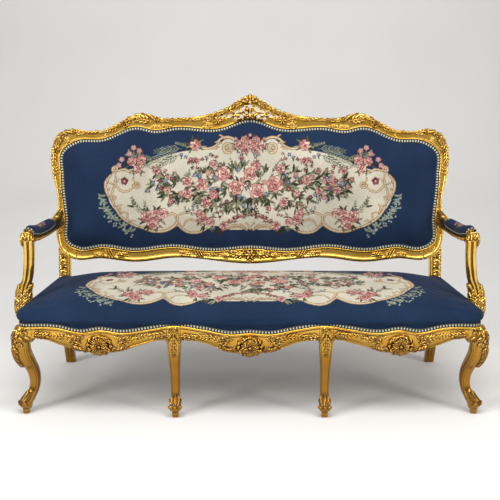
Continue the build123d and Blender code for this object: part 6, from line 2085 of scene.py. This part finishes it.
back_stuffing, _ = back_layer("back_stuffing", 30.0, 16.0, 16.0, STUFFING, "stuffing", ["back_pad"])
back_cover, gap = back_layer("woven_back_cover", 1.0, 0.0, CLOTH_STEP, TAPESTRY, "tapestry", ["back_cover"])
swell(back_cover, gap < 16.0, 9.0)
divided(back_cover, 2)
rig.padded(back_cover, fill=0.9)
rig.padded(back_stuffing, fill=0.9)
strokes = work(back_cover, (0.0, 362.0), 611.0, 207.0, 11)
print("back cover:", len(back_cover.data.vertices), "points,", strokes, "strokes")

# %% [markdown]
# ## The seat's cover
#
# The seat is sprung up at its edge and crowned. Its cover runs up from the braid, bulges over the roll
# at the edge and lies almost flat on top. It is cut round the arm posts and tucked in beside the stiles.


# %% Seat cover
SEAT_KEYS = [(-100, 2, 331), (-66, 2, 364), (-60, 8, 368), (-52, 14, 374), (-44, 16.5, 382), (-35, 14, 391),
             (-26, 8, 400), (-15, -1, 407), (-2, -13, 414), (18, -32, 422), (60, -70, 436), (122, -130, 448),
             (196, -200, 454), (262, -262, 456), (400, -400, 456)]


def seat_layer(name, reach, sink, step, material, slot, replaced):
    edge = ring(ROUND, 520)
    normal = outward_of(edge)
    chart, faces, _ = clipped_grid(edge + normal * reach, step)
    gap, places, inside = edge_distance(chart, edge)
    signed = np.where(inside, gap, -gap)
    nearest = np.argmin(np.abs(edge[None] - places[:, None]).sum(2), 1)
    lines = smooth_path([(s, o) for s, o, _ in SEAT_KEYS])
    heights = smooth_path([(s, z) for s, _, z in SEAT_KEYS])
    out = np.interp(signed, lines[:, 0], lines[:, 1])
    z = np.interp(signed, heights[:, 0], heights[:, 1]) - sink
    flat = places + normal[nearest] * (out - sink * (signed < 20))[:, None]
    # Far from the edge the cover lies where its chart says
    level = np.clip((signed - 60) / 60, 0, 1)[:, None]
    flat = chart * level + flat * (1 - level)
    # Its ends fall a little
    across = SEAT_HALF - TAPER * np.clip((flat[:, 1] + 293) / 529, 0, 1) - np.abs(flat[:, 0])
    fall = np.interp(across, [0, 25, 60, 100, 150, 200, 270], [0, 8, 15, 12, 6, 1, 0])
    z = z - fall * np.clip((signed + 20) / 40, 0, 1)
    # It is cut round the arm posts, and tucked in front of the stiles
    side = np.abs(flat[:, 0])
    beside_post = 840.0 + np.clip(np.abs(flat[:, 1] + 150.0) - 26.0, 0, None) * 2.0
    side = np.where(z > 366.0, np.minimum(side, beside_post), side)
    tuck = 199.0 + 0.16 * np.clip(z - 368, 0, None)
    flat[:, 1] = np.where((side > 764.0) & (flat[:, 1] > tuck), tuck, flat[:, 1])
    points = np.column_stack([np.sign(flat[:, 0]) * side, flat[:, 1] + BEHIND, z])
    return cloth_piece(name, chart, faces, points, material, slot, replaced, (0, 0, 1)), signed


seat_stuffing, _ = seat_layer("seat_stuffing", 36.0, 16.0, 18.0, STUFFING, "stuffing", ["seat_foam"])
seat_cover, signed = seat_layer("woven_seat_cover", 99.0, 0.0, CLOTH_STEP, TAPESTRY, "tapestry", ["seat_cover"])
places = places_of(seat_cover.data) / MM
near_post = (np.abs(places[:, 1] + 150) < 44) & (np.abs(places[:, 0]) > 800)
near_stile = (places[:, 1] > 150) & (np.abs(places[:, 0]) > 740)
swell(seat_cover, (signed < -54) | near_post | near_stile | (places[:, 1] > 225), 9.0)
divided(seat_cover, 2)
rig.padded(seat_cover, fill=0.85)
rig.padded(seat_stuffing, fill=0.85)
strokes = work(seat_cover, (0.0, -74.0), 645.0, 224.0, 23, thread("182b46"))
print("seat cover:", len(seat_cover.data.vertices), "points,", strokes, "strokes")

# %% [markdown]
# ## The braid
#
# A woven braid hides every row of tacks. It is a domed strip about fifteen millimetres wide that
# follows the cloth's edge, with scallops along both of its sides. Its pale knots come from its finish,
# which reads the distance along the strip.


# %% Braids
def braid_strip(path, outs, width=15.0, rise=2.6, pitch=12.0, closed=False, step=1.6):
    """A domed strip along a path: points in space, with the direction that the strip faces at each."""
    path, outs = np.asarray(path, float), np.asarray(outs, float)
    if closed:
        path, outs = np.vstack([path, path[:1]]), np.vstack([outs, outs[:1]])
    run = walked(path)
    share = np.linspace(0, run[-1], int(run[-1] / step) + 1)
    middle, out = read_off(share, run, path), read_off(share, run, outs)
    out /= np.linalg.norm(out, axis=1)[:, None]
    ahead = np.gradient(middle, axis=0)
    ahead /= np.linalg.norm(ahead, axis=1)[:, None]
    aside = np.cross(ahead, out)
    aside /= np.linalg.norm(aside, axis=1)[:, None]
    across = np.array([-1.0, -0.86, -0.5, 0.0, 0.5, 0.86, 1.0, 0.6, -0.6])
    lift = np.array([0.15, 0.62, 0.92, 1.0, 0.92, 0.62, 0.15, -0.15, -0.15])
    scallop = 0.80 + 0.20 * np.abs(np.sin(math.pi * share / pitch * 2))
    sections = middle[:, None] + aside[:, None] * (across[None] * scallop[:, None])[..., None] * width / 2
    ripple = 1 + 0.10 * np.sin(2 * math.pi * share / pitch * 2)
    sections += out[:, None] * (lift[None] * ripple[:, None])[..., None] * rise
    points, faces, _ = tube(sections)
    chart = np.column_stack([np.repeat(share, 9), np.tile(across / 2 + 0.5, len(share)) / MM])
    return points, faces, np.vstack([chart, [[0, 500], [run[-1], 500]]])


def braid_piece(name, lots, replaced):
    """Stretches of braid as one piece."""
    points, faces, chart = joined(lots)
    made = piece(name, points, faces, BRAID, replaced, "braid")
    lay_chart(made, chart)
    return made


line = closed_sight(6.4)
out_of_back = np.array([0, -math.cos(LEAN), math.sin(LEAN)])
for name, out, facing, rise, node in (
    ("back_braid", 5.0, out_of_back, 2.6, "back_gimp"),
    ("outside_back_braid", -21.0, -out_of_back, 2.0, "outside_back_gimp"),
):
    facings = np.tile(facing, (len(line), 1))
    strip = braid_strip(leaned(line[:, 0], line[:, 1], out), facings, closed=True, rise=rise)
    braid_piece(name, [strip], [node])

# Round the seat the braid breaks off at the arm posts and at the back
edge = ring(ROUND, 900)
normal = outward_of(edge)
height = np.where(edge[:, 1] > -260, 346.8, show_top(edge[:, 0])) + 6.0
blocked = ((np.abs(edge[:, 1] + 150) < 28) & (np.abs(edge[:, 0]) > 700)) | (edge[:, 1] > 196)
order = np.roll(np.arange(len(edge)), -int(np.nonzero(blocked)[0][0]))
lots, rows = [], []
for k in [*order, order[0]]:
    if not blocked[k]:
        rows.append(k)
        continue
    if len(rows) > 4:
        flat = edge[rows] + normal[rows] * 3.0
        lots.append(braid_strip(np.column_stack([flat[:, 0], flat[:, 1] + BEHIND, height[rows]]),
                                np.column_stack([normal[rows], np.zeros(len(rows))])))
    rows = []
braid_piece("seat_braid", lots, ["seat_gimp"])
print("braid stretches round the seat:", len(lots))

# %% [markdown]
# ## The arm pads
#
# The pads are small cushions of the same tapestry on the arms, with a narrow braid round their lower
# edge. Each is a tube of low arches that is swelled a little as cloth, and it leans outwards as the arm
# does. A spray of flowers lies in its middle.

# %% Arm pads
PAD_TILT = math.radians(18.0)
PAD_KEYS = [0.265, 0.29, 0.34, 0.44, 0.60, 0.76, 0.84, 0.885, 0.90]
PAD_SIZES = [0.30, 0.66, 0.90, 1.0, 1.0, 1.0, 0.92, 0.68, 0.34]


def pad_rings(rise, spread, columns=30):
    """Sections of an arm pad from its back to its front, and how far along the arm each lies."""
    along = np.linspace(0.265, 0.90, 56)
    size = smooth_values(np.array(PAD_KEYS) * 100, np.array(PAD_SIZES) * 100, along * 100) / 100
    middle, _, half_height = arm_run(along)
    turn = np.linspace(math.pi, 0, columns)
    c, s = np.cos(turn), np.sin(turn)
    reach = (np.abs(c) ** 2.6 + np.abs(s) ** 2.6) ** (-1 / 2.6)
    rings = np.empty((len(along), columns + 2, 3))
    for i in range(len(along)):
        side = 23.0 * spread * (0.62 + 0.38 * size[i])
        low = middle[i, 2] + half_height[i] - 8.0
        rings[i, 1:-1, 0] = middle[i, 0] + c * reach * side
        rings[i, 1:-1, 2] = low + s * reach * (8.0 + rise * size[i])
        rings[i, 1:-1, 1] = middle[i, 1] + BEHIND
        rings[i, 0] = rings[i, 1] + (3.0, 0, -3.0)
        rings[i, -1] = rings[i, -2] + (-3.0, 0, -3.0)
        dx, dz = rings[i, :, 0] - middle[i, 0], rings[i, :, 2] - middle[i, 2]
        rings[i, :, 0] = middle[i, 0] + dx * math.cos(PAD_TILT) - dz * math.sin(PAD_TILT)
        rings[i, :, 2] = middle[i, 2] + dx * math.sin(PAD_TILT) + dz * math.cos(PAD_TILT)
    return rings, along


def arm_pad():
    """The right-hand pad, swelled with its lower edges held, and its sections."""
    rings, along = pad_rings(22.0, 0.97)
    points, faces, _ = tube(rings)
    width = rings.shape[1]
    chart = np.stack(np.broadcast_arrays((along * ARM_REACH)[:, None], np.linspace(-44, 44, width)[None]), -1)
    chart = np.vstack([chart.reshape(-1, 2), [[112.0, 0]], [[382.0, 0]]])
    made = cloth_piece("woven_arm_pad_right", chart, faces, points, TAPESTRY, "tapestry", ["arm_pad_right"])
    held = np.zeros(len(points), bool)
    for column in (0, 1, width - 2, width - 1):
        held[column:len(along) * width:width] = True
    swell(made, held, 5.0, 3.0)
    divided(made, 1)
    return made, rings


def sprig_on(made, middle, seed):
    """A small spray of flowers in the middle of a pad."""
    p = Pattern(60.0, 22.0, seed)
    for way in (10, 60, 120, 170, 200, 250, 290, 340):
        p.leaves(toward(way) * (8, 5), way, 26, 2)
    for u, v, size in ((0.7, 0.1, 7), (-0.7, -0.1, 7), (0.45, 0.6, 6), (-0.4, 0.6, 6), (0.4, -0.6, 6),
                       (-0.5, -0.6, 6)):
        p.bloom(p.at(u, v), size, p.choose([BLUES, REDS, MIXED]), 5)
    for u, v, size in ((-0.25, 0.1, 12), (0.25, -0.1, 12), (0.0, 0.35, 9)):
        p.rose(p.at(u, v), size)
    chart = chart_of(made.data) - middle
    dye(made, chart, p.strokes, np.tile(NAVY, (len(chart), 1)))


pad, rings = arm_pad()
sprig_on(pad, (250.0, 4.0), 5)
left_pad = mirrored_piece(pad, "woven_arm_pad_left", ["arm_pad_left"], "tapestry")
for cushion in (pad, left_pad):
    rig.padded(cushion, fill=0.9)
line = np.vstack([rings[:, 1], rings[-1, 2:-2:3], rings[::-1, -2], rings[0, -3:2:-3]])
facing = (line - rings.mean(axis=(0, 1))) * (1, 0.12, 0)
strip = braid_strip(line + (0, 0, 3.0), facing, width=8.0, rise=2.2, pitch=8.0, closed=True)
mirrored_piece(braid_piece("arm_pad_braid_right", [strip], None), "arm_pad_braid_left", [], "braid")
print("arm pad:", len(pad.data.vertices), "points")


# %% [markdown]
# ## The sheets behind and below
#
# The cloth behind the back and the lining under the seat are flat sheets, stretched and tacked at their
# edge. Each mesh is a square grid clipped to its outline, a little hollow towards its middle.


# %% Sheets behind and below
def stretched_sheet(name, line, place, material, slot, node, rests_on):
    """A sheet inside a closed line, declared with the size that it was cut to."""
    chart, faces, gap = clipped_grid(line, 22.0)
    made = cloth_piece(name, chart, faces, place(chart, gap), material, slot, [node])
    size = tuple(float(v) for v in (line.max(0) - line.min(0)) * MM)
    area = float(abs(area_of(line)) * MM**2)
    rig.sheet(made, flat=size, held="stretched", rests_on=rests_on, area=area)
    print(name, size, round(area, 3))


stretched_sheet(
    "outside_back_cloth", closed_sight(1.5),
    lambda chart, gap: leaned(chart[:, 0], chart[:, 1], -19.5 + 1.5 * np.clip(gap / 200, 0, 1)),
    NAVY_CLOTH, "back_cloth", "outside_back", ["carved_crest", "carved_bottom_rail"],
)
inset = ring(ROUND, 240)
stretched_sheet(
    "under_lining", inset - outward_of(inset) * 30.0,
    lambda chart, gap: np.column_stack(
        [chart[:, 0], chart[:, 1] + BEHIND, 295.5 - 3.0 * np.clip(gap / 150, 0, 1)]
    ),
    LINING, "dust_cloth", "dust_cover", ["rear_seat_rail"],
)

# %% [markdown]
# ## Floor, light and camera
#
# The floor is plain and pale, and turns up into a backdrop far behind. Four soft lamps stand for a
# studio: a wide one above, one from the left, a low one from the right that catches the gilding, and
# one that lights only the backdrop. The world has a bright band at eye level for the gold to mirror.
# The camera has the photograph's place.


# %% Stage
def area_lamp(name, place, aim, size, power, colour=(1, 1, 1)):
    """A soft rectangular lamp that looks at a point."""
    lamp = bpy.data.lights.new(name, "AREA")
    lamp.shape, lamp.size, lamp.size_y, lamp.energy, lamp.color = "RECTANGLE", *size, power, colour
    made = placed(name, lamp)
    made.location = place
    ray = np.asarray(aim, float) - place
    flat = math.hypot(ray[0], ray[1])
    made.rotation_euler = (math.pi / 2 + math.atan2(ray[2], flat), 0, math.atan2(ray[1], ray[0]) - math.pi / 2)


FLOOR_BACK, SWEEP, WALL_TOP, HALF_SPAN = 4.6, 1.6, 8.0, 30.0  # metres


def stage():
    """A floor that sweeps up into a wall."""
    finish = Finish("pale floor")
    cloud = finish.noise(900, 3)
    material = finish.set(Base_Color=finish.blend(cloud, (0.74, 0.73, 0.715), (0.80, 0.79, 0.775)), Roughness=0.7)
    rows = [(-HALF_SPAN, 0.0), (FLOOR_BACK, 0.0)]
    for k in range(1, 13):
        turn = math.pi / 2 * k / 12
        rows.append((FLOOR_BACK + SWEEP * math.sin(turn), SWEEP * (1 - math.cos(turn))))
    rows.append((FLOOR_BACK + SWEEP, WALL_TOP))
    points = [(x, y, z) for y, z in rows for x in (-HALF_SPAN, HALF_SPAN)]
    mesh = bpy.data.meshes.new("floor")
    mesh.from_pydata(points, [], [(k, k + 1, k + 3, k + 2) for k in range(0, 2 * len(rows) - 2, 2)])
    smoothed(mesh)
    mesh.materials.append(material)
    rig.stage(placed("floor", mesh))


stage()
area_lamp("lamp_above", (0.0, -1.4, 3.3), (0, 0, 0.5), (3.6, 1.2), 88)
area_lamp("lamp_left", (-2.9, -2.4, 2.1), (0, 0, 0.6), (1.0, 1.6), 62)
area_lamp("lamp_right", (3.0, -2.2, 1.7), (0, 0, 0.5), (0.8, 1.6), 44, (1.0, 0.96, 0.90))
area_lamp("lamp_wall", (0.0, 3.2, 3.6), (0, 6.2, 1.0), (7.0, 1.0), 53)
world = bpy.data.worlds.new("studio")
world.use_nodes = True
sky = world.node_tree
background = sky.nodes["Background"]
parts = sky.nodes.new("ShaderNodeSeparateXYZ")
ramp = sky.nodes.new("ShaderNodeValToRGB")
stops = ramp.color_ramp.elements
stops[0].position, stops[0].color = 0.44, (0.05, 0.04, 0.03, 1)
stops[1].position, stops[1].color = 0.72, (0.98, 0.98, 0.98, 1)
for place, shade in ((0.49, 0.60), (0.52, 0.58), (0.57, 0.32)):
    stops.new(place).color = (shade, shade * 0.98, shade * 0.95, 1)
sky.links.new(sky.nodes.new("ShaderNodeTexCoord").outputs["Generated"], parts.inputs[0])
half_up = sky.nodes.new("ShaderNodeMath")
half_up.operation = "MULTIPLY_ADD"
half_up.inputs[1].default_value, half_up.inputs[2].default_value = 0.5, 0.5
sky.links.new(parts.outputs["Z"], half_up.inputs[0])
sky.links.new(half_up.outputs[0], ramp.inputs[0])
sky.links.new(ramp.outputs[0], background.inputs["Color"])
background.inputs["Strength"].default_value = 0.6
bpy.context.scene.world = world

camera = placed("camera", bpy.data.cameras.new("camera"))
camera.data.lens, camera.data.sensor_width = 61.2, 36.0
camera.location = (0.0, -3.3114, 1.3257)
camera.rotation_euler = (math.radians(90 - 12.815), 0, 0)
bpy.context.scene.camera = camera
bpy.context.scene.view_settings.view_transform = "Standard"
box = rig.bounds()
with open("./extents.json", "w") as record:
    json.dump({"cad": cad_box, "visual": box}, record, default=lambda value: [float(v) for v in value])
print("CAD box:", cad_box, "visual box:", box)
